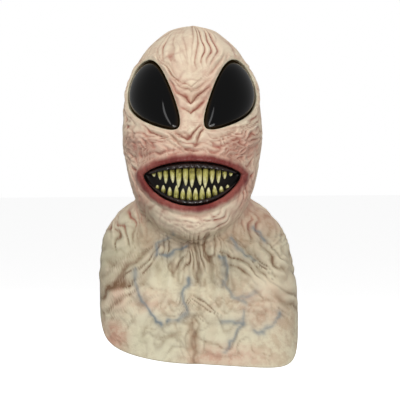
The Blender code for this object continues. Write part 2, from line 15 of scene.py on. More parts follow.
import bpy
import numpy as np
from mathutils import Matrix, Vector


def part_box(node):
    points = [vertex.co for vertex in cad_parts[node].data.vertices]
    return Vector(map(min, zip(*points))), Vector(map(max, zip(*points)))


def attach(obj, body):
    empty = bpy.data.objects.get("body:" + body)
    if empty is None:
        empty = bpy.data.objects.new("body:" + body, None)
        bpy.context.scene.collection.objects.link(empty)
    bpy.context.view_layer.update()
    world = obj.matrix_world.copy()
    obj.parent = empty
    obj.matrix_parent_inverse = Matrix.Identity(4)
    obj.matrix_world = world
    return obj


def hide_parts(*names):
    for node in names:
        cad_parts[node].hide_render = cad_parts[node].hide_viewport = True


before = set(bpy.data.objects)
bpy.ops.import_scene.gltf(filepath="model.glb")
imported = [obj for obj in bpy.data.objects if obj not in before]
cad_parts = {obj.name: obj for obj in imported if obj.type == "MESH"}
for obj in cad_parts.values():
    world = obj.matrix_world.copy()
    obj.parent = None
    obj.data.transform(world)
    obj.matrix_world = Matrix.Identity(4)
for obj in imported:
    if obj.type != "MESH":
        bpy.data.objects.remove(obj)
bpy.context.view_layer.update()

# %% [markdown]
# ## Sizes from the frame
#
# Every size here is worked out from the boxes of the CAD nodes, so the looks follow the frame when it
# changes. The shares are those of the real mask: how much of its height lies above the hem's lowest
# corner, how wide the head is beside the bib, and so on.

# %% Sizes from the frame
skin_low, skin_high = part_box("skin")
LATEX_WALL = skin_high.z
HEM_SHARE = 0.98622
HOOD_HEIGHT = (skin_high.z - skin_low.z) / HEM_SHARE
BIB_WIDTH = skin_high.x - skin_low.x
HEAD_WIDTH = BIB_WIDTH * 0.7017
HEAD_DEPTH = (skin_high.y - skin_low.y) * 0.9876
BIB_DEPTH = HEAD_DEPTH * 0.8816
BIB_SHIFT = BIB_WIDTH * 0.0281
HEM_LIFT = HOOD_HEIGHT * 0.0612
HEM_DIP = HOOD_HEIGHT * 0.0204
MM = 0.001
FOLD_WIDTH = 10 * MM
FOLD_HEIGHT = 5 * MM
print(f"Hood {HOOD_HEIGHT:.3f} m high, head {HEAD_WIDTH:.3f} m wide, bib {BIB_WIDTH:.3f} m wide")

# %% [markdown]
# ## The plain hood
#
# A hood is a stack of closed curves, one for each height. Each row of the table below gives a curve's
# front, side and back, and how square it is. A smooth curve through the table gives all the heights
# between. The same form could be sculpted, but a table keeps it exact and easy to change.

# %% The hood's sections
Section = namedtuple(
    "Section", "name zone front_y front_drop side_x side_y side_drop back_y back_drop square sag"
)
SECTIONS = (
    Section("crown", "head", 0.000, 0.000, 0.000, 0.000, 0.000, 0.000, 0.000, 2.0, 2.0),
    Section("crown_cap", "head", -0.125, 0.010, 0.290, 0.000, 0.011, 0.125, 0.010, 2.0, 2.0),
    Section("crown_side", "head", -0.235, 0.032, 0.460, 0.000, 0.033, 0.235, 0.032, 2.0, 2.0),
    Section("forehead", "head", -0.325, 0.072, 0.640, 0.000, 0.067, 0.330, 0.072, 2.0, 2.0),
    Section("brow", "head", -0.392, 0.126, 0.800, -0.010, 0.116, 0.395, 0.126, 2.0, 2.0),
    Section("temple", "head", -0.432, 0.187, 0.915, -0.018, 0.174, 0.430, 0.190, 2.05, 2.0),
    Section("eye", "head", -0.462, 0.250, 0.975, -0.022, 0.232, 0.449, 0.250, 2.1, 2.0),
    Section("cheek", "head", -0.490, 0.310, 1.000, -0.025, 0.290, 0.449, 0.306, 2.15, 2.0),
    Section("upper_lip", "head", -0.517, 0.370, 1.000, -0.028, 0.343, 0.435, 0.358, 2.15, 2.0),
    Section("mouth", "head", -0.540, 0.430, 0.968, -0.030, 0.390, 0.405, 0.405, 2.1, 2.0),
    Section("lower_lip", "head", -0.550, 0.490, 0.930, -0.030, 0.431, 0.370, 0.446, 2.05, 2.0),
    Section("chin", "head", -0.547, 0.545, 0.890, -0.020, 0.466, 0.345, 0.480, 2.0, 1.9),
    Section("chin_tip", "head", -0.508, 0.590, 0.845, 0.000, 0.493, 0.322, 0.504, 2.0, 1.8),
    Section("under_chin", "head", -0.425, 0.613, 0.835, 0.030, 0.509, 0.315, 0.520, 2.0, 1.7),
    Section("throat", "head", -0.335, 0.625, 0.920, 0.060, 0.522, 0.315, 0.535, 2.0, 1.6),
    Section("neck", "bib", -0.329, 0.648, 0.735, 0.090, 0.540, 0.366, 0.553, 2.0, 1.6),
    Section("neck_base", "bib", -0.326, 0.684, 0.813, 0.100, 0.566, 0.389, 0.577, 2.05, 1.7),
    Section("collar", "bib", -0.352, 0.727, 0.886, 0.090, 0.595, 0.426, 0.610, 2.15, 2.0),
    Section("shoulder", "bib", -0.394, 0.775, 0.940, 0.065, 0.633, 0.463, 0.664, 2.4, 3.0),
    Section("chest", "bib", -0.435, 0.830, 0.972, 0.040, 0.683, 0.490, 0.735, 2.9, 5.5),
    Section("chest_low", "bib", -0.466, 0.900, 0.990, 0.020, 0.730, 0.505, 0.820, 3.5, 10.0),
    Section("hem", "bib", -0.486, 0.972, 1.000, 0.010, 0.777, 0.510, 0.905, 4.2, 15.0),
)
HEM_ROW = len(SECTIONS) - 1
NECK_ROW = [section.name for section in SECTIONS].index("neck")
SLOPE_END = 0.22  # radians behind the widest point, where the hem's slope ends


def section_lengths(section):
    """A section's columns in metres: front y, z, side x, y, z, back y, z, then square and sag."""
    half_width = (HEAD_WIDTH if section.zone == "head" else BIB_WIDTH) / 2
    depth = HEAD_DEPTH if section.zone == "head" else BIB_DEPTH
    return (
        section.front_y * depth,
        LATEX_WALL - section.front_drop * HOOD_HEIGHT,
        section.side_x * half_width,
        section.side_y * depth,
        LATEX_WALL - section.side_drop * HOOD_HEIGHT,
        section.back_y * depth,
        LATEX_WALL - section.back_drop * HOOD_HEIGHT,
        section.square,
        section.sag,
    )


def section_ladder():
    """All sections, with one more at each end for the curve through them."""
    rows = np.array([section_lengths(section) for section in SECTIONS])
    mirrored = rows[1] * (-1, 1, -1, 1, 1, -1, 1, 1, 1)
    return np.vstack((mirrored, rows, 2 * rows[-1] - rows[-2]))


LADDER = section_ladder()


def hood_points(angle, row):
    """Points of the plain hood. The angle is 0 at the nose and grows towards +X, and rows run to HEM_ROW."""
    step = np.clip(row.astype(int), 0, HEM_ROW - 1)
    t = row - step
    weights = (
        -0.5 * t + t**2 - 0.5 * t**3,
        1 - 2.5 * t**2 + 1.5 * t**3,
        0.5 * t + 2 * t**2 - 1.5 * t**3,
        -0.5 * t**2 + 0.5 * t**3,
    )
    columns = sum(weight[:, None] * LADDER[step + k] for k, weight in enumerate(weights))
    front_y, front_z, side_x, side_y, side_z, back_y, back_z, square, sag = columns.T
    at_front = np.abs(angle) <= math.pi / 2
    end_y, end_z = np.where(at_front, front_y, back_y), np.where(at_front, front_z, back_z)
    across = np.maximum(np.abs(side_x), 1e-6)
    along = np.maximum(np.abs(end_y - side_y), 1e-6)
    sine, cosine = np.sin(angle), np.cos(angle)
    reach = (np.abs(sine / across) ** square + np.abs(cosine / along) ** square) ** (-1 / square)
    in_bib = np.maximum(0, (row - NECK_ROW) / (HEM_ROW - NECK_ROW))
    x = reach * sine
    share = x / (BIB_WIDTH / 2) * (1 - smooth_step(0, SLOPE_END, np.abs(angle) - math.pi / 2))
    slope = HEM_LIFT * np.maximum(0, -share) ** 2 - HEM_DIP * np.maximum(0, share)
    z = end_z + (side_z - end_z) * np.abs(sine) ** sag + in_bib**2 * slope
    return np.stack((x + BIB_SHIFT * in_bib, side_y - reach * cosine, z), axis=1)


def unit(vectors):
    return vectors / np.maximum(np.linalg.norm(vectors, axis=-1, keepdims=True), 1e-12)


def hood_normals(angle, row):
    """Directions straight out of the hood, from points a small step away on each side."""
    step = 0.01
    around = hood_points(angle + step, row) - hood_points(angle - step, row)
    below, above = np.minimum(row + step, HEM_ROW), np.maximum(row - step, 0.001)
    normals = unit(np.cross(hood_points(angle, below) - hood_points(angle, above), around))
    normals[row < 0.02] = (0, 0, 1)
    return normals


def smooth_step(low, high, value):
    share = np.clip((value - low) / (high - low), 0, 1)
    return share * share * (3 - 2 * share)


# %% [markdown]
# ## Main folds
#
# The largest folds and bulges are the same in the frame: a row for each, along a straight line seen from
# the front. They are added along the hood's normal, so a fold stands out wherever the skin faces.

# %% The main folds
Fold = namedtuple("Fold", "name x0 drop0 x1 drop1 wide high mirrored")
FOLDS = (
    Fold("crown_middle", 0.00, 0.020, 0.00, 0.070, 2.2, 0.6, False),
    Fold("brow_lobe", 0.22, 0.130, 0.62, 0.085, 1.7, 1.2, True),
    Fold("forehead_dip", 0.00, 0.110, 0.00, 0.210, 1.4, -1.2, False),
    Fold("nose_bridge", 0.00, 0.250, 0.00, 0.290, 1.6, 0.6, False),
    Fold("nose_base", 0.00, 0.335, 0.00, 0.350, 1.8, 1.0, False),
    Fold("cheek_bag", 0.45, 0.352, 0.82, 0.315, 1.5, 1.0, True),
    Fold("cheek_crease", 0.40, 0.400, 0.78, 0.385, 0.9, -0.6, True),
    Fold("jaw_pad", 0.62, 0.500, 0.78, 0.440, 1.6, 0.6, True),
    Fold("chin_ball", 0.00, 0.590, 0.00, 0.590, 2.6, 1.2, False),
    Fold("neck_cord_inner", 0.10, 0.650, 0.12, 0.790, 0.7, 1.0, True),
    Fold("neck_cord_middle", 0.27, 0.640, 0.36, 0.790, 0.7, 1.0, True),
    Fold("neck_cord_outer", 0.44, 0.620, 0.64, 0.780, 0.8, 1.0, True),
    Fold("neck_side_crease", 0.76, 0.560, 0.74, 0.660, 1.2, -0.8, True),
    Fold("shoulder_fold_high", 0.80, 0.640, 1.22, 0.690, 1.0, 0.8, True),
    Fold("shoulder_fold_low", 0.62, 0.700, 1.12, 0.770, 1.1, 1.0, True),
    Fold("chest_muscle", 0.40, 0.820, 0.95, 0.820, 3.0, 1.0, True),
    Fold("chest_border", 0.22, 0.865, 1.05, 0.870, 1.0, -0.6, True),
    Fold("breast_groove", 0.00, 0.800, 0.00, 0.970, 1.0, -1.0, False),
)


def line_distance(x, z, x0, z0, x1, z1):
    """The distance from points to a line's stretch, all seen from the front."""
    along_x, along_z = x1 - x0, z1 - z0
    share = ((x - x0) * along_x + (z - z0) * along_z) / max(along_x**2 + along_z**2, 1e-12)
    share = np.clip(share, 0, 1)
    return np.hypot(x - x0 - share * along_x, z - z0 - share * along_z)


def height_of(drop):
    return LATEX_WALL - drop * HOOD_HEIGHT


def fold_heights(points):
    half = HEAD_WIDTH / 2
    total = np.zeros(len(points))
    for fold in FOLDS:
        for side in (1, -1) if fold.mirrored else (1,):
            start = (side * fold.x0 * half, height_of(fold.drop0))
            end = (side * fold.x1 * half, height_of(fold.drop1))
            away = line_distance(points[:, 0], points[:, 2], *start, *end)
            total += fold.high * FOLD_HEIGHT * np.exp(-((away / (fold.wide * FOLD_WIDTH)) ** 2))
    return total


# %% [markdown]
# ## Eye and mouth outlines
#
# The eyes are smooth almonds, tilted, narrower at the nose. The mouth is a lens shape with its corners on
# one level. Both are written as formulas of a turn around them, so the hole, the lid or lip and the lens
# all follow the very same line.

# %% The eyes' outlines
EYE_LENGTH = 132 * MM
EYE_WIDTH = 76 * MM
EYE_ANGLE = math.radians(36)
EYE_TILT = math.radians(49)
EYE_DROP = 0.208
EYE_TAPER = 0.42
LENS_WALL = 2.5 * MM
LENS_BULGE = 11 * MM
LENS_OVERLAP = 4 * MM
LENS_GAP = 0.7 * MM
LID_WIDTH = 13 * MM
LID_HEIGHT = 3.6 * MM


def turns(count):
    return np.arange(count) * (2 * math.pi / count)


def hood_point(angle, row):
    return hood_points(np.array([angle]), np.array([float(row)]))[0]


def row_at_drop(angle, drop):
    """The row where the hood is this share of its height below the crown."""
    low, high = 0.0, float(NECK_ROW)
    for _ in range(40):
        middle = (low + high) / 2
        if hood_point(angle, middle)[2] > height_of(drop):
            low = middle
        else:
            high = middle
    return (low + high) / 2


class EyeFrame:
    """Where one eye sits: its centre on the skin, the way out, and its long and short axes."""

    full_width = (np.sin(turns(720)) * (1 + EYE_TAPER * np.cos(turns(720)))).max()

    def __init__(self, side):
        angle = side * EYE_ANGLE
        row = row_at_drop(angle, EYE_DROP)
        self.centre = hood_point(angle, row)
        self.out = hood_normals(np.array([angle]), np.array([row]))[0]
        up = unit(np.array((0, 0, 1)) - self.out * self.out[2])
        aside = side * np.cross(up, self.out)
        self.long_axis = up * math.cos(EYE_TILT) + aside * math.sin(EYE_TILT)
        self.short_axis = aside * math.cos(EYE_TILT) - up * math.sin(EYE_TILT)

    def outline(self, turn, margin=0.0):
        width = np.sin(turn) * (1 + EYE_TAPER * np.cos(turn)) / self.full_width
        return (EYE_LENGTH / 2 + margin) * np.cos(turn), (EYE_WIDTH / 2 + margin) * width

    def flat(self, points):
        """The points' lengths along the eye's axes, and their height above its plane."""
        offset = points - self.centre
        return offset @ self.long_axis, offset @ self.short_axis, offset @ self.out

    def place(self, along, across, out):
        lengths = np.stack(np.broadcast_arrays(along, across, out), axis=-1)
        return self.centre + lengths @ np.stack((self.long_axis, self.short_axis, self.out))

    def distance(self, points):
        """Metres from the outline, seen along the way out, and less than 0 inside it."""
        along, across, out = self.flat(points)
        near = (np.abs(along) < EYE_LENGTH) & (np.abs(across) < EYE_LENGTH) & (out > -EYE_LENGTH / 2)
        edge = np.stack(self.outline(turns(240)), axis=1)
        result = np.full(len(points), 1.0)
        spots = np.stack((along[near], across[near]), axis=1)
        gaps = polygon_distance(spots, edge)
        taper = 1 + EYE_TAPER * np.clip(2 * spots[:, 0] / EYE_LENGTH, -0.999, 0.999)
        ratio = np.hypot(
            2 * spots[:, 0] / EYE_LENGTH, 2 * spots[:, 1] / EYE_WIDTH * self.full_width / taper
        )
        result[near] = np.where(ratio < 1, -gaps, gaps)
        return result


def polygon_distance(spots, edge):
    """Each spot's distance to a closed line of points."""
    result = np.full(len(spots), np.inf)
    for start, end in zip(edge, np.roll(edge, -1, axis=0)):
        result = np.minimum(result, line_distance(spots[:, 0], spots[:, 1], *start, *end))
    return result


EYES = {"eye_right": EyeFrame(-1), "eye_left": EyeFrame(1)}


def eye_distance(points):
    """Metres from the nearer eye's outline, and less than 0 inside it."""
    return np.minimum(*(eye.distance(points) for eye in EYES.values()))


print("Eye centres:", {name: eye.centre.round(4).tolist() for name, eye in EYES.items()})

# %% The mouth's outline
MOUTH_WIDTH = 136 * MM
MOUTH_DROP = 0.434
MOUTH_RISE = 20 * MM
MOUTH_FALL = 42 * MM
MOUTH_POINT = 1.35
LIP_WIDTH = 12 * MM
LIP_HEIGHT = 4.5 * MM
CORNER_Z = height_of(MOUTH_DROP)
EDGE_STEP = 0.02
OUTLINE_POINTS = 240


def mouth_edge(turn):
    height = np.where(np.sin(turn) > 0, MOUTH_RISE, MOUTH_FALL)
    lift = np.sign(np.sin(turn)) * np.abs(np.sin(turn)) ** MOUTH_POINT
    return np.stack((MOUTH_WIDTH / 2 * np.cos(turn), CORNER_Z + height * lift), axis=-1)


def mouth_line(turn, margin=0.0):
    """(x, z) on the lips' inner edge, moved outwards by a margin."""
    tangent = unit(mouth_edge(turn + EDGE_STEP) - mouth_edge(turn - EDGE_STEP))
    outwards = np.stack((tangent[..., 1], -tangent[..., 0]), axis=-1)
    return mouth_edge(turn) + margin * outwards


def mouth_distance(points):
    """Metres from the lips' inner edge, seen from the front, and less than 0 inside the mouth."""
    near = (np.abs(points[:, 0]) < MOUTH_WIDTH) & (np.abs(points[:, 2] - CORNER_Z) < MOUTH_WIDTH)
    near &= points[:, 1] < 0
    spots = points[near][:, [0, 2]]
    gaps = polygon_distance(spots, mouth_edge(turns(OUTLINE_POINTS)))
    share = np.clip(1 - (2 * spots[:, 0] / MOUTH_WIDTH) ** 2, 0, 1) ** (MOUTH_POINT / 2)
    height = spots[:, 1] - CORNER_Z
    inside = (share > 0) & (height < MOUTH_RISE * share) & (height > -MOUTH_FALL * share)
    result = np.full(len(points), 1.0)
    result[near] = np.where(inside, -gaps, gaps)
    return result


# %% [markdown]
# ## Noise and creases
#
# Wrinkled skin is made of rounded folds with sharp creases between them. The size of a sine wave has just
# that section. A smooth random field pushes the wave sideways, so that its lines wander, split and run
# together, and a second one makes them fade in and out.

# %% Noise and creases
LATTICE_SIZE = 64
LATTICE = np.random.default_rng(11).uniform(-1, 1, (LATTICE_SIZE,) * 3)
SEED_SHIFT = 13.7


def noise(spots, seed=0):
    """Smooth random values from about -1 to 1, at spots measured in bumps."""
    spots = spots + SEED_SHIFT * seed
    cell = np.floor(spots).astype(int)
    t = spots - cell
    t = t * t * t * (t * (6 * t - 15) + 10)
    total = np.zeros(len(spots))
    for corner in np.ndindex(2, 2, 2):
        weight = np.prod(np.where(corner, t, 1 - t), axis=1)
        index = (cell + corner) % LATTICE_SIZE
        total += weight * LATTICE[index[:, 0], index[:, 1], index[:, 2]]
    return total


def streaks(across, along, spacing, stretch, seed):
    """A random field whose bumps are one spacing wide and several spacings long."""
    spots = np.stack((across / spacing, along / (spacing * stretch), np.zeros_like(across)), axis=1)
    return noise(spots, seed) + 0.45 * noise(spots * 2.1, seed + 1)


def stripes(across, along, spacing, stretch, wander, seed):
    """Folds side by side that wander and split, from 0 in the creases to 1, and their strength."""
    spots = np.stack((across / (spacing * 2.4), along / (spacing * stretch), np.zeros_like(across)), axis=1)
    phase = across / spacing + wander * (noise(spots, seed) + 0.5 * noise(spots * 2.3, seed + 1))
    strength = np.clip(0.8 + 1.3 * noise(spots * 1.3, seed + 2), 0.1, 1.25)
    return np.abs(np.sin(math.pi * phase)), strength


# %% [markdown]
# ## Where each kind of wrinkle lies
#
# Each row is one patch of wrinkles: where it is centred, how far it reaches, how wide its folds are and
# how deep. The lines of a patch run along a course of its own, such as the stacked Vs of the forehead or
# the rings round the chin. Patches overlap and fade into each other, as they do on a real sculpted mask.

# %% The wrinkle patches
# Places and sizes are in millimetres. On the head, x is measured along the skin from the middle of the face.
# The drop is measured straight down from the crown.
Patch = namedtuple("Patch", "name course x drop half_x half_drop spacing stretch depth wander seed")
PATCHES = (
    Patch("crown_fan", "fan", 0, 24, 84, 40, 10.0, 9.0, 2.6, 0.9, 1),
    Patch("forehead_v", "vees", 0, 116, 50, 72, 12.5, 5.0, 7.0, 1.0, 5),
    Patch("brow", "vees", 50, 74, 40, 34, 13.0, 5.0, 5.0, 1.3, 9),
    Patch("under_eye", "eye_rings", 62, 158, 54, 26, 8.0, 4.0, 3.8, 1.6, 13),
    Patch("cheek_worms", "level", 62, 178, 64, 27, 8.0, 2.8, 4.0, 2.0, 17),
    Patch("nose_sides", "level", 0, 160, 32, 30, 8.5, 3.4, 3.2, 1.6, 21),
    Patch("above_lip", "level", 0, 186, 76, 12, 7.0, 5.0, 3.0, 1.4, 25),
    Patch("temple", "eye_rings", 112, 120, 40, 64, 11.0, 4.0, 3.0, 1.6, 29),
    Patch("jaw_streaks", "leaning", 82, 234, 36, 56, 9.0, 5.0, 3.0, 1.4, 33),
    Patch("jaw_back", "leaning", 140, 215, 52, 66, 13.0, 4.0, 2.4, 1.6, 37),
    Patch("chin_rings", "chin", 0, 283, 62, 32, 7.5, 5.0, 2.8, 1.4, 41),
    Patch("throat", "upright", 0, 318, 64, 36, 8.0, 7.0, 2.6, 1.3, 45),
    Patch("neck_drapes", "drapes", 84, 330, 64, 44, 11.0, 6.0, 3.0, 1.5, 49),
    Patch("neck_sides", "leaning", 104, 290, 36, 38, 10.0, 5.0, 2.8, 1.5, 53),
    Patch("breast_fan", "chest_vees", 0, 402, 56, 22, 7.0, 5.0, 1.8, 1.5, 57),
    Patch("breast_lines", "upright", 0, 450, 28, 36, 8.0, 5.0, 1.2, 1.5, 61),
    Patch("shoulder_drapes", "drapes", 112, 385, 48, 58, 18.0, 5.0, 2.4, 1.8, 65),
    Patch("nape", "level", 250, 268, 110, 40, 11.0, 5.0, 4.0, 1.5, 73),
    Patch("head_back", "leaning", 230, 130, 120, 90, 16.0, 5.0, 2.6, 1.6, 77),
    Patch("back_bib", "drapes", 250, 380, 160, 70, 18.0, 5.0, 3.0, 1.8, 81),
    Patch("all_over", "level", 0, 250, 400, 400, 22.0, 2.5, 1.0, 2.0, 69),
)


def courses(x, drop, eye_gap):
    """For each course: the length across its lines, and along them. All are in millimetres."""
    side = np.abs(x)
    fan_angle = np.arctan2(x, 105 - drop)
    chin_radius = np.hypot(x, (drop - 236) * 1.15)
    return {
        "fan": (fan_angle * 62, np.hypot(x, 105 - drop)),
        "vees": (drop + 0.75 * side, x),
        "eye_rings": (eye_gap, np.arctan2(drop - 100, side - 55) * 55 + 200 * np.sign(x)),
        "level": (drop - 0.2 * side, x),
        "upright": (x / (1 + np.maximum(0, drop - 300) / 160), drop),
        "leaning": (x * 0.85 + np.sign(x) * (drop - 200) * 0.45, drop - 0.5 * side),
        "chin": (chin_radius, np.arctan2(x, drop - 225) * 45),
        "drapes": (drop * 0.8 - side * 0.62, side + 300 * np.sign(x)),
        "chest_vees": (drop - 0.7 * side, x),
    }


def patch_weight(patch, x, drop):
    """1 in the patch's middle and 0 outside it, on both sides of the face."""
    side = (np.abs(x) - patch.x) / patch.half_x if patch.x else x / patch.half_x
    away = np.hypot(side, (drop - patch.drop) / patch.half_drop)
    return 1 - smooth_step(0.55, 1.15, away)


# %% [markdown]
# ## Cords and creases placed one by one
#
# The neck and chest have single cords and creases too plain to see to be left to chance. Each row has a
# few points, a width and a height, and a height below 0 makes a crease. They are bent a little, as the
# veins are.

# %% Cords and creases
# Points are (x, drop) in millimetres, seen from the front.
Cord = namedtuple("Cord", "name wide high points")
CORDS = (
    Cord("right_drape_top", 4.5, 2.6, ((-137, 363), (-105, 342), (-66, 320), (-30, 304))),
    Cord("right_drape_middle", 4.0, 2.4, ((-123, 370), (-88, 352), (-52, 333), (-20, 318))),
    Cord("right_drape_crease", 2.6, -2.0, ((-130, 357), (-96, 338), (-58, 318))),
    Cord("right_drape_low", 3.4, 2.0, ((-81, 364), (-59, 347), (-38, 332))),
    Cord("right_neck_flap", 3.0, 2.4, ((-74, 246), (-76, 276), (-73, 312), (-60, 322))),
    Cord("right_notch", 3.2, -2.6, ((-34, 338), (-29, 356), (-25, 342))),
    Cord("string_1", 2.6, 2.2, ((-12, 306), (-14, 338), (-20, 362))),
    Cord("string_2", 2.4, 2.4, ((-3, 304), (-1, 334), (0, 362))),
    Cord("string_valley", 2.4, -2.6, ((6, 310), (8, 334), (6, 362))),
    Cord("string_3", 3.0, 3.4, ((12, 306), (19, 338), (13, 366))),
    Cord("string_4", 2.6, 2.2, ((25, 308), (28, 342), (36, 371))),
    Cord("string_5", 2.8, 2.4, ((35, 306), (44, 342), (54, 372))),
    Cord("left_drape_1", 3.2, 2.2, ((44, 306), (55, 336), (74, 360))),
    Cord("left_drape_2", 3.6, 2.4, ((55, 302), (69, 326), (97, 347), (128, 358))),
    Cord("left_drape_3", 3.8, 2.2, ((70, 290), (84, 315), (111, 334), (136, 345))),
    Cord("left_drape_crease", 2.6, -1.8, ((62, 302), (76, 322), (104, 340))),
    Cord("breast_left", 2.4, 1.6, ((40, 392), (17, 400), (5, 408))),
    Cord("breast_right", 2.4, 1.6, ((-30, 396), (-6, 402), (6, 410))),
    Cord("breast_crease", 3.4, -2.0, ((0, 410), (-1, 440), (1, 474))),
    Cord("rib_right", 2.8, 1.7, ((-68, 433), (-30, 428), (-8, 452))),
    Cord("rib_left", 2.8, 1.5, ((46, 402), (74, 398), (96, 404))),
    Cord("hem_scratch", 1.6, 1.2, ((-120, 432), (-108, 442), (-92, 452))),
)


def bent(x, drop, amount):
    """The same places, each moved a little by a random field."""
    spots = np.stack((x / 9, drop / 9, np.zeros_like(x)), axis=1)
    return x + amount * noise(spots, 41), drop + amount * noise(spots, 43)


def path_distance(x, drop, points):
    nearest = np.full(len(x), 99.0)
    for (x0, drop0), (x1, drop1) in zip(points, points[1:]):
        nearest = np.minimum(nearest, line_distance(x, drop, x0, drop0, x1, drop1))
    return nearest


def cord_heights(x, drop):
    """Millimetres that the cords add, and how deep in a crease each point is, for the crease paint:
    partly a wash, partly painted shade.
    """
    bent_x, bent_drop = bent(x, drop, 4.0)
    height, crease = np.zeros(len(x)), np.zeros(len(x))
    for cord in CORDS:
        away = path_distance(bent_x, bent_drop, cord.points)
        height += cord.high * np.exp(-((away / cord.wide) ** 2))
        # Beside a raised cord and along a sunk one the crease mask rises, for a wash and painted shade.
        side = np.exp(-(((away - cord.wide * 1.5) / cord.wide) ** 2)) * 0.5
        crease = np.maximum(crease, side if cord.high > 0 else np.exp(-((away / cord.wide) ** 2)))
    return height, crease


# %% [markdown]
# ## Airbrushed tones
#
# The real mask is toned with an airbrush: pink beside the mouth and red-brown under the chin. The grey-green
# on the right of the neck and jaw is partly the latex's tint and partly painted shade. Each row is one soft
# spot of a tone. Spots of one tone add up to a mask that the paint uses.

# %% Airbrushed tones and painted shade
# Places and sizes are in millimetres, seen from the front. The mask's own left side has an x above 0.
Spot = namedtuple("Spot", "tone x drop half_x half_drop strength")
SPOTS = (
    Spot("pink", -74, 236, 24, 46, 0.7),
    Spot("pink", 74, 236, 24, 46, 0.8),
    Spot("pink", 0, 188, 86, 22, 0.8),
    Spot("pink", -66, 172, 36, 26, 0.85),
    Spot("pink", 68, 172, 36, 26, 0.9),
    Spot("pink", -26, 116, 24, 56, 0.65),
    Spot("pink", 28, 116, 24, 56, 0.65),
    Spot("pink", 44, 470, 70, 22, 0.5),
    Spot("pink", -112, 440, 26, 26, 0.6),
    Spot("pink", 96, 398, 40, 40, 0.35),
    Spot("pink", -60, 392, 34, 22, 0.3),
    Spot("pink", -104, 384, 12, 30, 0.5),
    # The green spots are partly a grey-green tint and partly painted shade, strongest on the mask's right of
    # the neck and jaw.
    Spot("green", -82, 282, 34, 42, 1.0),
    Spot("green", -112, 326, 46, 52, 0.9),
    Spot("green", -70, 258, 22, 40, 0.9),
    Spot("green", -50, 340, 60, 30, 0.5),
    Spot("green", -58, 446, 70, 34, 0.5),
    Spot("green", 70, 340, 50, 26, 0.4),
    Spot("green", 76, 264, 18, 30, 0.35),
    Spot("green", 30, 430, 80, 26, 0.35),
    Spot("brown", 2, 306, 56, 15, 0.7),
    Spot("brown", 104, 286, 36, 32, 0.8),
    Spot("brown", 62, 300, 30, 24, 0.5),
    Spot("brown", -66, 300, 22, 26, 0.5),
    Spot("brown", 4, 336, 40, 34, 0.25),
    Spot("brown", 0, 448, 11, 40, 0.7),
    Spot("brown", 128, 400, 20, 60, 0.4),
)


def tone_masks(x, drop, front):
    masks = {}
    for spot in SPOTS:
        away = np.hypot((x - spot.x) / spot.half_x, (drop - spot.drop) / spot.half_drop)
        added = spot.strength * (1 - smooth_step(0.2, 1.25, away)) * front
        masks[spot.tone] = 1 - (1 - masks.get(spot.tone, 0)) * (1 - added)
    return masks


# %% [markdown]
# ## Veins
#
# Blue-grey veins stand just proud of the neck and chest. A few listed points give each one, and a
# small random shift bends it between them.

# %% The veins
# Points are (x, drop) in millimetres, seen from the front.
VEINS = {
    "right_chest_long": ((-82, 350), (-80, 366), (-76, 384), (-66, 396), (-56, 410), (-45, 426)),
    "right_chest_cross": ((-37, 420), (-20, 414), (-7, 408), (-14, 395), (-17, 380), (-5, 362)),
    "right_neck_long": ((-26, 294), (-36, 305), (-47, 314), (-50, 328)),
    "right_neck_fork": ((-9, 310), (-23, 318), (-31, 328), (-44, 327)),
    "left_chest_long": ((40, 364), (50, 376), (61, 388), (74, 396)),
    "left_chest_fork": ((61, 388), (78, 388), (88, 380)),
    "left_chest_star_up": ((72, 404), (70, 418), (56, 421), (41, 420)),
    "left_chest_star_down": ((70, 418), (60, 436), (50, 450), (45, 462)),
    "left_chest_star_out": ((84, 430), (100, 436), (113, 424), (123, 410)),
    "left_neck_high": ((53, 302), (62, 318), (76, 330), (88, 336)),
    "left_neck_low": ((38, 328), (47, 344), (45, 362), (40, 372)),
    "left_shoulder": ((88, 290), (96, 302), (102, 312)),
}
VEIN_WIDTH = 2.3
VEIN_WASH = 6.5
VEIN_CORE = 0.72  # the core's share of the paint, and the wash has the rest
VEIN_HEIGHT = 1.5


def vein_strength(x, drop):
    """1 on a vein's middle line, a faint wash of paint beside it, and 0 further away."""
    bent_x, bent_drop = bent(x, drop, 3.5)
    nearest = np.min([path_distance(bent_x, bent_drop, points) for points in VEINS.values()], axis=0)
    core = np.exp(-((nearest / VEIN_WIDTH) ** 2))
    wash = np.exp(-((nearest / VEIN_WASH) ** 2))
    return VEIN_CORE * core + (1 - VEIN_CORE) * wash


# %% [markdown]
# ## The skin's relief
#
# One function adds everything up at a point: the main folds, the lids and lips, the patches of wrinkles
# and the veins. It also returns masks that the paint uses later: how deep in a crease the point is, for
# darker paint that is partly a wash and partly painted shade, whether it is on a lip, and so on. They become
# attributes of the mesh, which any renderer can read.

# %% The relief of the skin
NOSTRIL_X = 6.5
NOSTRIL_DROP = 162
NOSTRIL_DEPTH = 2.6 * MM
NOSTRIL_HALF_WIDTH = 1.8
NOSTRIL_HALF_HEIGHT = 4.5
SKIN_RADIUS = 95  # mm of skin round the head to a radian
BIB_BLEND = (262, 330)  # between these drops, x changes from the skin's own to the front view's
FACE_BLEND = (276, 306)  # between these drops, the face's paint gives way to the bib's
EYE_CLEARANCE = (4 * MM, 18 * MM)  # over these gaps, the main folds fade in beside an eye
LIP_CLEARANCE = (8 * MM, 20 * MM)
FACING = (0.05, 0.45)  # how far forwards the skin has to face for the main folds
SIDE_FACING = (-0.1, 0.4)  # the same for the cords and the airbrushed tones
BACK_FACING = (-0.35, 0.2)  # the same for the wrinkles
BACK_RELIEF = 0.5  # the share of the wrinkles' depth that is left on the back
HEM_FADE = (0, 30)  # mm above the hem over which folds and veins fade in
HEM_RELIEF = 0.3  # the share of the wrinkles' depth that is left at the hem
WRINKLE_EYE_GAP = (1.5 * MM, 6 * MM)
WRINKLE_LIP_GAP = (9 * MM, 14 * MM)
WARP_SIZE = 16
WARP_AMOUNT = 4.5
CREST_SHARE = 0.62  # of a wrinkle's depth lies below the plain skin
DEEP_FOLD = 2.2
CREASE_WIDTH = 0.4
THIN_WALL = 1.4 * MM


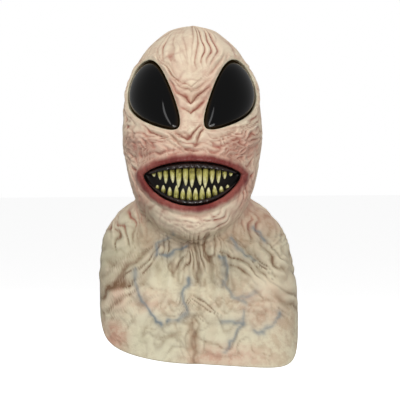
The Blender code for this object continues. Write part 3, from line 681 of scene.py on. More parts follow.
def lid_shape(gap):
    """A rounded rim beside the eye's hole: steep at the hole, and a soft slope outside."""
    share = np.clip(gap / LID_WIDTH, 0, 1)
    return np.sqrt(np.clip(share * 3.2, 0, 1)) * (1 - smooth_step(0.35, 1.0, share))


def lip_shape(gap):
    """A full, rounded lip."""
    share = np.clip(gap / LIP_WIDTH, 0, 1)
    return np.sqrt(np.clip(1 - (2 * share - 1) ** 2, 0, 1))


def fold_relief(points, normals, eye_gap, lip_gap):
    """The main folds, faded out beside the eyes and mouth and on the back of the head."""
    clear = smooth_step(*EYE_CLEARANCE, eye_gap) * smooth_step(*LIP_CLEARANCE, lip_gap)
    return fold_heights(points) * clear * smooth_step(*FACING, -normals[:, 1])


def wrinkle_heights(x, drop, lines, fade):
    """Metres that the patches add, the lowest they reach nearby, and two masks: the creases, which
    get a wash and painted shade, and the crests, which get paler paint and a painted highlight.
    """
    height, floor = np.zeros(len(x)), np.zeros(len(x))
    cavity, dry_brush_and_highlight = np.zeros(len(x)), np.zeros(len(x))
    for patch in PATCHES:
        across, along = lines[patch.course]
        wave, strength = stripes(across, along, patch.spacing, patch.stretch, patch.wander, patch.seed)
        strength = strength * patch_weight(patch, x, drop) * fade
        height += strength * patch.depth * MM * (wave**0.8 - CREST_SHARE)
        floor -= strength * patch.depth * MM * CREST_SHARE
        depth_share = strength * min(1, patch.depth / DEEP_FOLD)
        # Creases get darker, redder paint: partly a real wash, partly painted shade.
        cavity = np.maximum(cavity, depth_share * np.exp(-((wave / CREASE_WIDTH) ** 2)))
        # The crests of the folds get paler paint: partly dry-brushing, partly a painted highlight.
        dry_brush_and_highlight = np.maximum(dry_brush_and_highlight, depth_share * wave**3)
    return height, floor, cavity, dry_brush_and_highlight


def skin_relief(points, normals, angle):
    """The skin's height above the plain hood, the height of the deepest furrows nearby, and the masks."""
    x = angle * SKIN_RADIUS
    flat_x, drop = points[:, 0] / MM, (LATEX_WALL - points[:, 2]) / MM
    in_bib = smooth_step(*BIB_BLEND, drop)
    x = x * (1 - in_bib) + flat_x * in_bib
    eye_gap = eye_distance(points)
    lip_gap = mouth_distance(points)
    facing = smooth_step(*FACING, -normals[:, 1])
    hem_fade = smooth_step(*HEM_FADE, drop_to_hem(angle, points))
    height = fold_relief(points, normals, eye_gap, lip_gap) * hem_fade
    warp = np.stack((x / WARP_SIZE, drop / WARP_SIZE, np.zeros_like(x)), axis=1)
    warped_x, warped_drop = x + WARP_AMOUNT * noise(warp, 51), drop + WARP_AMOUNT * noise(warp, 53)
    lines = courses(warped_x, warped_drop, eye_gap / MM + 2.5 * noise(warp, 55))
    wrinkle_fade = smooth_step(*WRINKLE_EYE_GAP, eye_gap) * smooth_step(*WRINKLE_LIP_GAP, lip_gap)
    at_hem = HEM_RELIEF + (1 - HEM_RELIEF) * hem_fade
    wrinkle_fade *= at_hem
    behind = BACK_RELIEF + (1 - BACK_RELIEF) * smooth_step(*BACK_FACING, -normals[:, 1])
    wrinkles, low, cavity, dry_brush_and_highlight = wrinkle_heights(x, drop, lines, behind * wrinkle_fade)
    height, floor = height + wrinkles, height + low
    front = smooth_step(*SIDE_FACING, -normals[:, 1])
    cord_height, cord_wash_and_shade = cord_heights(flat_x, drop)
    height += cord_height * MM * front * at_hem
    floor += np.minimum(cord_height, 0) * MM * front
    # Cord creases join the crease mask: darker paint that is partly a wash, partly painted shade.
    cavity = np.maximum(cavity, cord_wash_and_shade * front * 0.8)
    height += LID_HEIGHT * lid_shape(eye_gap) * (1 + 0.18 * noise(warp * 2.0, 57))
    lip = lip_shape(lip_gap) * (lip_gap < LIP_WIDTH)
    lip_lines = streaks(flat_x, drop, 3.4, 3.0, 61)
    height += LIP_HEIGHT * 0.8 * lip * (1 + 0.3 * lip_lines)
    vein = vein_strength(flat_x, drop) * facing * hem_fade
    height += VEIN_HEIGHT * MM * vein
    slit_x, slit_drop = np.abs(flat_x) - NOSTRIL_X, drop - NOSTRIL_DROP
    nostril = np.exp(-((slit_x / NOSTRIL_HALF_WIDTH) ** 2) - (slit_drop / NOSTRIL_HALF_HEIGHT) ** 2)
    height -= NOSTRIL_DEPTH * nostril * facing
    both_nostrils = np.exp(-((flat_x / 14) ** 2) - (slit_drop / 12) ** 2)
    floor -= NOSTRIL_DEPTH * both_nostrils * facing
    ragged_gap = lip_gap + 1.5 * MM * noise(warp * 2, 59)
    masks = {
        # The nostrils' slits join the crease mask too: the same darker paint, there painted shade in a
        # recess.
        "cavity": np.maximum(cavity, nostril * facing),
        "lip": 1 - smooth_step(LIP_WIDTH * 0.4, LIP_WIDTH * 1.1, ragged_gap),
        "vein": vein,
        "face": 1 - smooth_step(*FACE_BLEND, drop),
        "top": dry_brush_and_highlight,
        **tone_masks(flat_x, drop, front),
    }
    return height, floor, masks


def drop_to_hem(angle, points):
    """Millimetres from each point down to the hem below it."""
    hem = hood_points(angle, np.full(len(angle), float(HEM_ROW)))
    return (points[:, 2] - hem[:, 2]) / MM


# %% [markdown]
# ## A sheet with clean holes
#
# The skin is a grid that wraps round the hood. Where the edge of a hole crosses a cell, the cell is
# clipped exactly on the edge, so the eye and mouth holes have smooth outlines and no Boolean is needed.
# First, points that lie almost on the edge are moved onto it, which leaves no slivers.

# %% A sheet that is clipped at the holes
LID_ROLL = 1.3 * MM
LIP_ROLL = 3.0 * MM
NEAR_EDGE = 0.2  # of the way to the next point: closer than this, a point moves onto the edge


def hole_field(angle, row):
    """Less than 0 in a hole, 0 on its edge and more outside."""
    points = hood_points(angle, row)
    return np.minimum(eye_distance(points) - LID_ROLL, mouth_distance(points) - LIP_ROLL)


def row_places(count):
    """Rows spaced evenly along the skin, halfway between the front's and the side's spacing."""
    rows = np.linspace(0, HEM_ROW, 2000)
    lengths = np.zeros(len(rows))
    for angle, weight in ((0.0, 0.5), (0.8, 0.3), (1.5, 0.2)):
        points = hood_points(np.full(len(rows), angle), rows)
        steps = np.linalg.norm(np.diff(points, axis=0), axis=1)
        lengths += weight * np.concatenate(([0], np.cumsum(steps)))
    drop = LATEX_WALL - hood_points(np.zeros(len(rows)), rows)[:, 2]
    finer = 1.0 + 0.7 * (1 - smooth_step(0.60, 0.72, drop / HOOD_HEIGHT))
    lengths = np.concatenate(([0], np.cumsum(np.diff(lengths) * finer[1:])))
    return np.interp(np.linspace(0, lengths[-1], count + 1)[1:], lengths, rows)


def column_places(count, front_share=0.46):
    """Angles of the columns, crowded at the face."""
    share = 2 * np.arange(count) / count - 1
    return math.pi * (front_share * share + (1 - front_share) * share**3)


def edge_crossings(field, angle, row, pairs):
    """Where the hole's edge crosses each pair of neighbours, as a share of the way between them."""
    first, second = pairs.T
    share = field[first] / (field[first] - field[second])
    low, high = np.zeros(len(share)), np.ones(len(share))
    angle_step, row_step = angle[second] - angle[first], row[second] - row[first]
    for _ in range(12):
        value = hole_field(angle[first] + share * angle_step, row[first] + share * row_step)
        same = np.sign(value) == np.sign(field[first])
        low, high = np.where(same, share, low), np.where(same, high, share)
        share = (low + high) / 2
    return share


def move_to_edge(field, angle, row, pairs, share):
    """Moves points that lie almost on a hole's edge onto it, and gives the crossings that are left."""
    start_angle, start_row = angle.copy(), row.copy()
    for end, near in ((0, share < NEAR_EDGE), (1, share > 1 - NEAR_EDGE)):
        moved, other = pairs[near, end], pairs[near, 1 - end]
        part = share[near] if end == 0 else 1 - share[near]
        angle[moved] = start_angle[moved] + part * (start_angle[other] - start_angle[moved])
        row[moved] = start_row[moved] + part * (start_row[other] - start_row[moved])
        field[moved] = 0.0
    crossing = field[pairs[:, 0]] * field[pairs[:, 1]] < 0
    return pairs[crossing], share[crossing]


def clipped_sheet(columns, rows):
    """The sheet's points as (angle, row), its faces, and the loops of points along its edges."""
    column_angle, row_value = column_places(columns), row_places(rows)
    angle = np.concatenate(([0.0], np.tile(column_angle, rows)))
    row = np.concatenate(([0.0], np.repeat(row_value, columns)))
    field = hole_field(angle, row)
    grid = 1 + np.arange(rows * columns).reshape(rows, columns)
    level = np.stack((grid[:, :-1].ravel(), grid[:, 1:].ravel()), axis=1)
    upright = np.stack((grid[:-1].ravel(), grid[1:].ravel()), axis=1)
    pairs = np.concatenate((level, upright))
    pairs = pairs[field[pairs[:, 0]] * field[pairs[:, 1]] < 0]
    share = edge_crossings(field, angle, row, pairs)
    pairs, share = move_to_edge(field, angle, row, pairs, share)
    new_points = {}
    for number, (first, second) in enumerate(pairs.tolist()):
        new_points[first, second] = new_points[second, first] = len(angle) + number
    first, second = pairs.T
    angle = np.concatenate((angle, angle[first] + share * (angle[second] - angle[first])))
    row = np.concatenate((row, row[first] + share * (row[second] - row[first])))
    beside = np.roll(grid, -1, axis=1)
    cells = np.stack((grid[:-1].ravel(), grid[1:].ravel(), beside[1:].ravel(), beside[:-1].ravel()), axis=1)
    whole = (field[cells] >= 0).all(axis=1) & (field[cells] > 0).any(axis=1)
    cut = ~whole & (field[cells] > 0).any(axis=1)
    faces = cells[whole].tolist()
    faces += [[0, int(low), int(high)] for low, high in zip(grid[0], beside[0])]
    for cell in cells[cut].tolist():
        polygon = []
        for corner, following in zip(cell, cell[1:] + cell[:1]):
            if field[corner] >= 0:
                polygon.append(corner)
            if (corner, following) in new_points:
                polygon.append(new_points[corner, following])
        if len(polygon) > 2:
            faces.append(polygon)
    return tidy_sheet(angle, row, faces)


def tidy_sheet(angle, row, faces):
    """Drops unused points and finds the sheet's edge loops."""
    used = np.zeros(len(angle), bool)
    for face in faces:
        used[face] = True
    new_number = np.cumsum(used) - 1
    faces = [[int(new_number[point]) for point in face] for face in faces]
    sides = {(a, b) for face in faces for a, b in zip(face, face[1:] + face[:1])}
    following = {a: b for a, b in sides if (b, a) not in sides}
    loops = []
    while following:
        start, point = following.popitem()
        loop = [start]
        while point != start:
            loop.append(point)
            point = following.pop(point)
        loops.append(loop)
    return angle[used], row[used], faces, loops


# %% [markdown]
# ## One closed skin
#
# Cast latex has an outside and an inside. The outer sheet carries all the relief. The inner one follows
# only the main folds, and stays behind the deepest furrows, so it needs about a ninth of the faces. At
# each edge the outer sheet rolls inwards over a rounded rim, as thick lids and lips do, and is then sewn
# to the inner sheet.

# %% Rolled rims and the seam to the inner sheet
def add_rim(points, loop, faces, normals, radius, steps, way=None):
    """Rolls an edge loop over by half a turn. Gives the points and the last loop."""
    ring = points[loop]
    tangent = unit(np.roll(ring, -1, axis=0) - np.roll(ring, 1, axis=0))
    tangent = unit(tangent + np.roll(tangent, 1, axis=0) + np.roll(tangent, -1, axis=0))
    out = normals[loop]
    inwards = unit(np.cross(out, tangent))
    target = way if way is not None else ring.mean(axis=0) - ring
    inwards *= np.sign((inwards * target).sum(axis=1).mean())
    last = list(loop)
    for step in range(1, steps + 1):
        turn = math.pi * step / steps
        rolled = ring + radius * (inwards * math.sin(turn) - out * (1 - math.cos(turn)))
        numbers = list(range(len(points), len(points) + len(loop)))
        points = np.concatenate((points, rolled))
        for place, (a, b) in enumerate(zip(last, last[1:] + last[:1])):
            following = numbers[(place + 1) % len(numbers)]
            faces.append([b, a, numbers[place], following])
        last = numbers
    return points, last


def sew(points, outer_loop, inner_loop, faces):
    """Joins two loops that run the same way, of different counts, with triangles."""
    start = int(np.argmin(np.linalg.norm(points[inner_loop] - points[outer_loop[0]], axis=1)))
    inner_loop = inner_loop[start:] + inner_loop[:start]
    places = []
    for loop in (outer_loop, inner_loop):
        closed = points[loop + loop[:1]]
        lengths = np.concatenate(([0], np.cumsum(np.linalg.norm(np.diff(closed, axis=0), axis=1))))
        places.append(lengths / lengths[-1])
    outer, inner = outer_loop + outer_loop[:1], inner_loop + inner_loop[:1]
    i = j = 0
    while i < len(outer_loop) or j < len(inner_loop):
        outer_next = places[0][i + 1] if i < len(outer_loop) else 2.0
        inner_next = places[1][j + 1] if j < len(inner_loop) else 2.0
        if outer_next <= inner_next:
            faces.append([outer[i + 1], outer[i], inner[j]])
            i += 1
        else:
            faces.append([inner[j], inner[j + 1], outer[i]])
            j += 1


def loop_kind(points, loop):
    """Which edge a loop is: the hem, the mouth or an eye."""
    middle = points[loop].mean(axis=0)
    if middle[2] < height_of(0.65):
        return "hem"
    if abs(middle[0]) < 10 * MM:
        return "mouth"
    return "eye_left" if middle[0] > 0 else "eye_right"


# %% [markdown]
# ## Building the skin
#
# Both sheets come from the same clipped grid, the inner one with a third of the columns and rows.
# from_pydata turns their points and faces into one mesh, and each mask becomes a float attribute on its
# points.

# %% Build the skin
FINE_GRID = (284, 300)
INNER_STEP = 3


def make_mesh(name, points, faces, masks=None):
    mesh = bpy.data.meshes.new(name)
    mesh.from_pydata(points.tolist(), [], faces)
    for label, values in (masks or {}).items():
        attribute = mesh.attributes.new(label, "FLOAT", "POINT")
        attribute.data.foreach_set("value", np.asarray(values, dtype=np.float32))
    mesh.shade_smooth()
    item = bpy.data.objects.new(name, mesh)
    bpy.context.scene.collection.objects.link(item)
    return item


def inner_sheet(columns, rows):
    """The inside of the latex: its points, faces and edge loops."""
    angle, row, faces, loops = clipped_sheet(columns, rows)
    base, normals = hood_points(angle, row), hood_normals(angle, row)
    hem_fade = smooth_step(*HEM_FADE, drop_to_hem(angle, base))
    height = fold_relief(base, normals, eye_distance(base), mouth_distance(base)) * hem_fade - LATEX_WALL
    _, floor, _ = skin_relief(base, normals, angle)
    height = np.minimum(height, floor - THIN_WALL)
    return base + normals * height[:, None], faces, loops


def build_skin():
    columns, rows = FINE_GRID
    angle, row, faces, loops = clipped_sheet(columns, rows)
    base, normals = hood_points(angle, row), hood_normals(angle, row)
    height, _, masks = skin_relief(base, normals, angle)
    points = base + normals * height[:, None]
    inner_points, inner_faces, inner_loops = inner_sheet(columns // INNER_STEP, rows // INNER_STEP)
    all_points = points
    outer_ends = {}
    for loop in loops:
        kind = loop_kind(points, loop)
        radius = {"hem": LATEX_WALL / 2, "mouth": LIP_ROLL}.get(kind, LID_ROLL)
        way = np.array((0, 0, -1)) if kind == "hem" else None
        steps = 6 if kind == "mouth" else 4
        all_points, outer_ends[kind] = add_rim(all_points, loop, faces, normals, radius, steps, way)
    rim_count = len(all_points) - len(points)
    first_inner = len(all_points)
    all_points = np.concatenate((all_points, inner_points))
    faces += [[first_inner + point for point in reversed(face)] for face in inner_faces]
    for loop in inner_loops:
        kind = loop_kind(inner_points, loop)
        sew(all_points, outer_ends[kind], [first_inner + point for point in loop], faces)
    for name in masks:
        masks[name] = np.concatenate((masks[name], np.zeros(rim_count + len(inner_points))))
    number = np.arange(len(all_points))
    on_rim = (number >= len(points)) & (number < first_inner)
    masks["lip"][on_rim & (np.abs(mouth_distance(all_points)) < LIP_WIDTH)] = 1
    masks["inside"] = (number >= first_inner).astype(float)
    item = make_mesh("latex_skin", all_points, faces, masks)
    print(f"Skin: {len(all_points)} points, {sum(len(face) - 2 for face in faces)} triangles")
    print(f"Its relief goes from {height.min() / MM:.1f} to {height.max() / MM:.1f} mm")
    return item


skin = build_skin()
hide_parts("skin")
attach(skin, "root")


# %% [markdown]
# ## Smooth beds for the lenses and the mouth
#
# A lens is glossy, so the tiniest facet would show in it. It isn't laid on the skin's faces. A smooth
# polynomial is fitted through the skin around the eye, and the lens takes its height from that. The
# mouth's lining, gums and teeth find the face's surface in the same way.

# %% Smooth beds
def plain_skin(columns=240, rows=220):
    """The skin with its main folds alone, with no holes: its points and normals on a grid."""
    angle = np.tile(column_places(columns), rows)
    row = np.repeat(row_places(rows), columns)
    base, normals = hood_points(angle, row), hood_normals(angle, row)
    height = fold_relief(base, normals, eye_distance(base), mouth_distance(base))
    return base + normals * height[:, None], normals


def fitted_bed(across, along, height, degree=8):
    """A smooth height over two lengths, fitted through scattered heights."""
    middle = np.array((across.mean(), along.mean()))
    half = np.array((np.ptp(across), np.ptp(along))) / 2
    powers = [(i, j) for i in range(degree + 1) for j in range(degree + 1 - i)]

    def terms(a, b):
        a, b = (a - middle[0]) / half[0], (b - middle[1]) / half[1]
        return np.stack([a**i * b**j for i, j in powers], axis=-1)

    weights = np.linalg.lstsq(terms(across, along), height, rcond=None)[0]
    print(f"Bed fitted to {np.abs(terms(across, along) @ weights - height).max() / MM:.2f} mm")
    return lambda a, b: terms(np.asarray(a), np.asarray(b)) @ weights


PLAIN_POINTS, PLAIN_NORMALS = plain_skin()


def eye_bed(eye):
    """The height of the skin's inside over the eye's plane."""
    inside = PLAIN_POINTS - PLAIN_NORMALS * LATEX_WALL
    along, across, out = eye.flat(inside)
    near = (eye.distance(inside) < LENS_OVERLAP * 2) & (out > -EYE_LENGTH / 2)
    return fitted_bed(along[near], across[near], out[near])


def mouth_bed():
    """How far forward the middle of the skin's wall is, seen from the front."""
    x, y, z = PLAIN_POINTS.T
    near = (mouth_distance(PLAIN_POINTS) < LIP_WIDTH * 1.2) & (y < 0)
    return fitted_bed(x[near], z[near], y[near] + LATEX_WALL / 2)


face_depth = mouth_bed()

# %% [markdown]
# ## The lenses
#
# Each lens is a thin shell with a flat flange behind the eye hole and a dome that stands out through it.
# Rings of points shrink from the flange to the middle, first in front and then again behind.

# %% Lenses
RIM_SHARE = (EYE_WIDTH / 2 + LENS_OVERLAP) / (EYE_WIDTH / 2)
DOME_SHARE = 0.955


def joined_rings(rings, first_tip=None, last_tip=None):
    """Faces between rings of equal counts, and a fan of triangles to the point at either end."""
    count = len(rings[0])
    points = np.concatenate(rings)
    faces = []
    for ring in range(len(rings) - 1):
        for place in range(count):
            a, b = ring * count + place, ring * count + (place + 1) % count
            faces.append([a, b, b + count, a + count])
    for tip, start, flip in ((first_tip, 0, True), (last_tip, len(points) - count, False)):
        if tip is not None:
            points = np.concatenate((points, [tip]))
            for place in range(count):
                pair = [start + place, start + (place + 1) % count]
                faces.append((pair[::-1] if flip else pair) + [len(points) - 1])
    return points, faces


def dome_height(share):
    return (LATEX_WALL + LENS_BULGE) * math.sqrt(max(0.0, 1 - (share / DOME_SHARE) ** 2))


def build_lens(name, eye):
    bed = eye_bed(eye)
    shares = [*np.linspace(RIM_SHARE, DOME_SHARE, 5)]
    shares += [DOME_SHARE * math.cos(step) for step in np.linspace(0.06, 1.54, 30)]
    turn = turns(120)

    def ring(share, back):
        along, across = eye.outline(turn)
        along, across = along * share, across * share
        return eye.place(along, across, bed(along, across) - LENS_GAP + dome_height(share) - back)

    def tip(back):
        return eye.place(0.0, 0.0, bed(0.0, 0.0) - LENS_GAP + dome_height(0.0) - back)

    front = [ring(share, 0.0) for share in shares]
    behind = [ring(share, LENS_WALL) for share in shares]
    points, faces = joined_rings(front[::-1] + behind, tip(0.0), tip(LENS_WALL))
    share_of_points = np.concatenate((np.repeat(shares[::-1] + shares, len(turn)), (0.0, 0.0)))
    item = make_mesh(f"{name}_lens", points, faces, {"edge": share_of_points})
    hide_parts(name)
    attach(item, "root")
    return item


lenses = [build_lens(name, eye) for name, eye in EYES.items()]
print("Lenses:", [item.name for item in lenses])

# %% [markdown]
# ## The mouth's lining and gums
#
# Behind the lips lies a dark tray. A gum runs along its top and another along its bottom. A gum is a bar
# with a rounded section, and it swells a little at each tooth, as real gums do.

# %% The tables of teeth
Tooth = namedtuple("Tooth", "at long wide lean")
UPPER_TEETH = (
    Tooth(-0.83, 0.50, 0.80, 0.10),
    Tooth(-0.70, 0.52, 0.90, 0.06),
    Tooth(-0.57, 0.60, 1.00, 0.04),
    Tooth(-0.43, 0.52, 1.04, 0.05),
    Tooth(-0.29, 0.64, 1.16, 0.02),
    Tooth(-0.145, 0.56, 1.14, 0.00),
    Tooth(0.00, 0.60, 1.18, -0.02),
    Tooth(0.145, 0.55, 1.14, 0.03),
    Tooth(0.29, 0.66, 1.16, -0.03),
    Tooth(0.43, 0.54, 1.06, -0.04),
    Tooth(0.57, 0.61, 1.00, -0.05),
    Tooth(0.70, 0.50, 0.90, -0.06),
    Tooth(0.83, 0.48, 0.80, -0.10),
)
LOWER_TEETH = (
    Tooth(-0.77, 0.34, 0.78, 0.06),
    Tooth(-0.64, 0.42, 0.90, 0.05),
    Tooth(-0.50, 0.38, 0.98, 0.02),
    Tooth(-0.36, 0.46, 1.04, 0.03),
    Tooth(-0.215, 0.37, 1.06, 0.00),
    Tooth(-0.07, 0.43, 1.10, 0.02),
    Tooth(0.07, 0.39, 1.08, -0.02),
    Tooth(0.215, 0.45, 1.06, 0.00),
    Tooth(0.36, 0.38, 1.02, -0.03),
    Tooth(0.50, 0.44, 0.98, -0.03),
    Tooth(0.64, 0.36, 0.90, -0.05),
    Tooth(0.77, 0.33, 0.78, -0.06),
)
UPPER_GUM_HEIGHT = 9 * MM
LOWER_GUM_HEIGHT = 7 * MM
GUM_GAP = 1.2 * MM
TOOTH_WIDTH = 7.2 * MM
TOOTH_SINK = 4.0 * MM
LINING_WALL = 2.5 * MM
LINING_DEPTH = 14 * MM
SEAT_GAP = 0.4 * MM
TURN_END = 0.98  # the gums' and teeth's places stop this far from the corners, of the mouth's half width
GUM_END = 0.93
GUM_FRONT = 0.5 * MM  # the gum's front, ahead of the middle of the skin's wall
GUM_DEPTH = 9.5 * MM
SWELL_WIDTH = 0.075
SWELL_DOWN = 1.6 * MM
SWELL_FORWARD = 1.4 * MM


# %% Lining
def build_lining():
    turn = turns(128)
    inner = mouth_line(turn)
    outer = mouth_line(turn, LIP_WIDTH)
    middle_z = CORNER_Z + (MOUTH_RISE - MOUTH_FALL) / 2
    seat = LIP_HEIGHT + SEAT_GAP

    def ring(lip_share, inwards, back):
        x, z = inner[:, 0] * (1 - inwards), inner[:, 1] + (middle_z - inner[:, 1]) * inwards
        depth = LINING_DEPTH * (1 - math.exp(-inwards / 0.07))
        y = face_depth(x, z) + seat + depth + back
        x = x + lip_share * (outer[:, 0] - inner[:, 0])
        z = z + lip_share * (outer[:, 1] - inner[:, 1])
        y = y + lip_share * (face_depth(*outer.T) - face_depth(*inner.T))
        return np.stack((x, y, z), axis=1)

    profile = [(share, 0.0) for share in (0.80, 0.55, 0.3, 0.1)]
    steps = (0, 0.015, 0.035, 0.06, 0.1, 0.16, 0.26, 0.4, 0.56, 0.72, 0.88)
    profile += [(0.0, inwards) for inwards in steps]
    front = [ring(*row, 0.0) for row in profile]
    behind = [ring(*row, LINING_WALL) for row in profile]
    tips = [
        np.array((0.0, face_depth(0.0, middle_z) + seat + LINING_DEPTH + back, middle_z))
        for back in (0.0, LINING_WALL)
    ]
    points, faces = joined_rings(front[::-1] + behind, *tips)
    return make_mesh("mouth_tray", points, faces)


# %% Gums
def gum_height(share, upper):
    full = UPPER_GUM_HEIGHT if upper else LOWER_GUM_HEIGHT
    return full * np.sin(np.arccos(np.clip(share, -TURN_END, TURN_END))) ** 0.8


def gum_turn(share, upper):
    turn = np.arccos(np.clip(share, -TURN_END, TURN_END))
    return turn if upper else -turn


def gum_swell(share, teeth):
    """1 at each tooth and 0 between two teeth."""
    nearest = np.min([np.abs(share - tooth.at) / SWELL_WIDTH for tooth in teeth], axis=0)
    return np.exp(-(nearest**2) * 1.2)


def build_gum(name, teeth, upper):
    share = np.linspace(-GUM_END, GUM_END, 220)
    turn = gum_turn(share, upper)
    height = gum_height(share, upper)
    swell = gum_swell(share, teeth)
    line = mouth_line(turn)
    front = face_depth(*line.T)
    rings = []
    for side in turns(20):
        up_share = (1 + math.cos(side)) / 2
        depth_share = (1 + math.sin(side)) / 2
        margin = -GUM_GAP - (height - GUM_GAP + SWELL_DOWN * swell) * (1 - up_share**1.3)
        place = mouth_edge_offset(turn, margin)
        y = front - GUM_FRONT + GUM_DEPTH * depth_share - SWELL_FORWARD * swell * (1 - depth_share)
        rings.append(np.stack((place[:, 0], y, place[:, 1]), axis=1))
    rings = np.stack(rings, axis=1)
    first, last = rings[0].mean(axis=0), rings[-1].mean(axis=0)
    points, faces = joined_rings(list(rings), first, last)
    return make_mesh(name, points, faces)


def mouth_edge_offset(turn, margin):
    """(x, z) on the lips' inner edge, moved outwards by a margin of its own at each point."""
    near, far = mouth_line(turn), mouth_line(turn, 1.0)
    return near + margin[:, None] * (far - near)


lining = build_lining()
gums = [build_gum("upper_gum", UPPER_TEETH, True), build_gum("lower_gum", LOWER_TEETH, False)]
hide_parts("mouth_lining")
for item in (lining, *gums):
    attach(item, "root")

# %% [markdown]
# ## Teeth
#
# A tooth is a tapered peg with a slight bend. Its rings shrink from the root to a rounded tip, and
# shallow grooves run along it. Each one has its own random bend and turn, because no two teeth of a
# hand-made mask match.

# %% Teeth
GIRTH_AT = (0.00, 0.10, 0.20, 0.38, 0.55, 0.72, 0.86, 0.95, 1.00)
GIRTHS = (0.80, 0.94, 1.00, 0.97, 0.86, 0.68, 0.46, 0.25, 0.05)
ROOT_DEPTH = 2.6 * MM
TOOTH_THICKNESS = 0.9  # of the tooth's width
TOOTH_BOW = 0.06  # of its length: how far its middle curves
TOOTH_BEND = 0.05  # of its length: the most that its tip bends aside
TIP_DRIFT = 0.25  # of its length: the most that its tip follows the face
GROOVE = 0.05


def open_height(share):
    rise = (MOUTH_RISE + MOUTH_FALL) * math.sin(math.acos(share)) ** MOUTH_POINT
    return rise - UPPER_GUM_HEIGHT - LOWER_GUM_HEIGHT


def build_tooth(name, tooth, upper, chance):
    share = np.array([tooth.at])
    turn = gum_turn(share, upper)
    x, z = mouth_edge_offset(turn, -gum_height(share, upper))[0]
    start = float(face_depth(*mouth_line(turn)[0])) + TOOTH_SINK
    down = -1 if upper else 1
    length = tooth.long * open_height(tooth.at)
    root = np.array((x, start, z))
    tip = root + np.array((tooth.lean * length, 0, down * length))
    drift = float(face_depth(tip[0], tip[2]) - face_depth(x, z))
    tip[1] += max(-TIP_DRIFT * length, min(TIP_DRIFT * length, drift))
    way = unit(tip - root)
    side = unit(np.cross(way, (0, 1, 0)))
    front = np.cross(side, way)
    bend, twist = chance.uniform(-TOOTH_BEND, TOOTH_BEND), chance.uniform(0, 6)
    rings, shares = [], np.linspace(-ROOT_DEPTH / length, 1, 22)
    spin = turns(24)
    for place in shares:
        girth = np.interp(place, GIRTH_AT, GIRTHS) * tooth.wide * TOOTH_WIDTH / 2
        groove = 1 - GROOVE * np.abs(np.sin(3.5 * spin + twist)) * smooth_step(0, 0.2, 1 - place)
        bow = TOOTH_BOW * length * math.sin(math.pi * max(0, place))
        centre = root + (tip - root) * place + side * bend * length * place**2 - front * bow
        radius = girth * groove
        lengths = np.stack((radius * np.cos(spin), TOOTH_THICKNESS * radius * np.sin(spin)), axis=1)
        rings.append(centre + lengths @ np.stack((side, front)))
    points, faces = joined_rings(rings, rings[0].mean(axis=0), tip + side * bend * length)
    along = np.concatenate((np.repeat(shares, len(spin)), (shares[0], 1.0)))
    item = make_mesh(f"{name}_peg", points, faces, {"along": along})
    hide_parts(name)
    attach(item, "root")
    return item


chance = np.random.default_rng(5)
teeth = []
for label, table, upper in (("upper", UPPER_TEETH, True), ("lower", LOWER_TEETH, False)):
    for number, tooth in enumerate(table):
        teeth.append(build_tooth(f"{label}_tooth_{number + 1:02d}", tooth, upper, chance))
print(len(teeth), "teeth")

# %% [markdown]
# ## Paint and finish
#
# Every finish is a node material. The masks made with the skin's relief say where the creases, lips and
# veins are, and layers of noise break up each colour, as an airbrush and a sponge do on the real mask.
# Two effects are used by several finishes, so each is a node group: a mottle of two sizes, and the fine
# grain of cast latex.


# %% Helpers for node materials
def linear(*colour):
    """A colour given as 0 to 255 on a screen, as the shader needs it."""
    return (*[(value / 255) ** 2.2 for value in colour], 1.0)


def add_node(tree, kind, inputs=None, **settings):
    node = tree.nodes.new(kind)
    for name, value in settings.items():
        setattr(node, name, value)
    for name, value in (inputs or {}).items():
        if isinstance(value, bpy.types.NodeSocket):
            tree.links.new(value, node.inputs[name])
        else:
            node.inputs[name].default_value = value
    return node


def mask(tree, name):
    return add_node(tree, "ShaderNodeAttribute", attribute_name=name).outputs["Fac"]


def mix_colour(tree, share, first, second):
    node = add_node(tree, "ShaderNodeMix", data_type="RGBA")
    for socket, value in ((node.inputs[0], share), (node.inputs[6], first), (node.inputs[7], second)):
        if isinstance(value, bpy.types.NodeSocket):
            tree.links.new(value, socket)
        else:
            socket.default_value = value
    return node.outputs[2]


def calculate(tree, operation, first, second):
    return add_node(tree, "ShaderNodeMath", {0: first, 1: second}, operation=operation).outputs[0]


def spread(tree, value, low, high, to_low=0.0, to_high=1.0):
    inputs = {"Value": value, "From Min": low, "From Max": high, "To Min": to_low, "To Max": to_high}
    return add_node(tree, "ShaderNodeMapRange", inputs, interpolation_type="SMOOTHSTEP").outputs["Result"]


def noise_texture(tree, scale, detail, roughness):
    where = add_node(tree, "ShaderNodeTexCoord").outputs["Object"]
    inputs = {"Vector": where, "Scale": scale, "Detail": detail, "Roughness": roughness}
    return add_node(tree, "ShaderNodeTexNoise", inputs).outputs["Fac"]


def new_group(name, inputs, outputs):
    group = bpy.data.node_groups.new(name, "ShaderNodeTree")
    for socket, value in inputs.items():
        made = group.interface.new_socket(socket, in_out="INPUT", socket_type="NodeSocketFloat")
        made.default_value = value
    for socket in outputs:
        group.interface.new_socket(socket, in_out="OUTPUT", socket_type="NodeSocketFloat")
    return group, group.nodes.new("NodeGroupInput"), group.nodes.new("NodeGroupOutput")


def fill_group(tree, group, inputs):
    node = tree.nodes.new("ShaderNodeGroup")
    node.node_tree = group
    for name, value in inputs.items():
        node.inputs[name].default_value = value
    return node


# %% [markdown]
# ## Effects as node groups
#
# A node group is a small graph that several materials share, with its own inputs and outputs. Object
# coordinates keep its noise fixed to the mesh, whatever the camera does.

# %% Shared effects
def make_mottle():
    """Soft patches of a large and a small size, from 0 to 1."""
    group, given, made = new_group("mottle", {"Large": 12.0, "Small": 70.0}, ("Patches", "Specks"))
    large = noise_texture(group, 1.0, 3.0, 0.6)
    small = noise_texture(group, 1.0, 4.0, 0.65)
    for output, socket in (("Large", large), ("Small", small)):
        group.links.new(given.outputs[output], socket.node.inputs["Scale"])
    group.links.new(spread(group, large, 0.35, 0.65), made.inputs["Patches"])
    group.links.new(spread(group, small, 0.38, 0.64), made.inputs["Specks"])
    return group


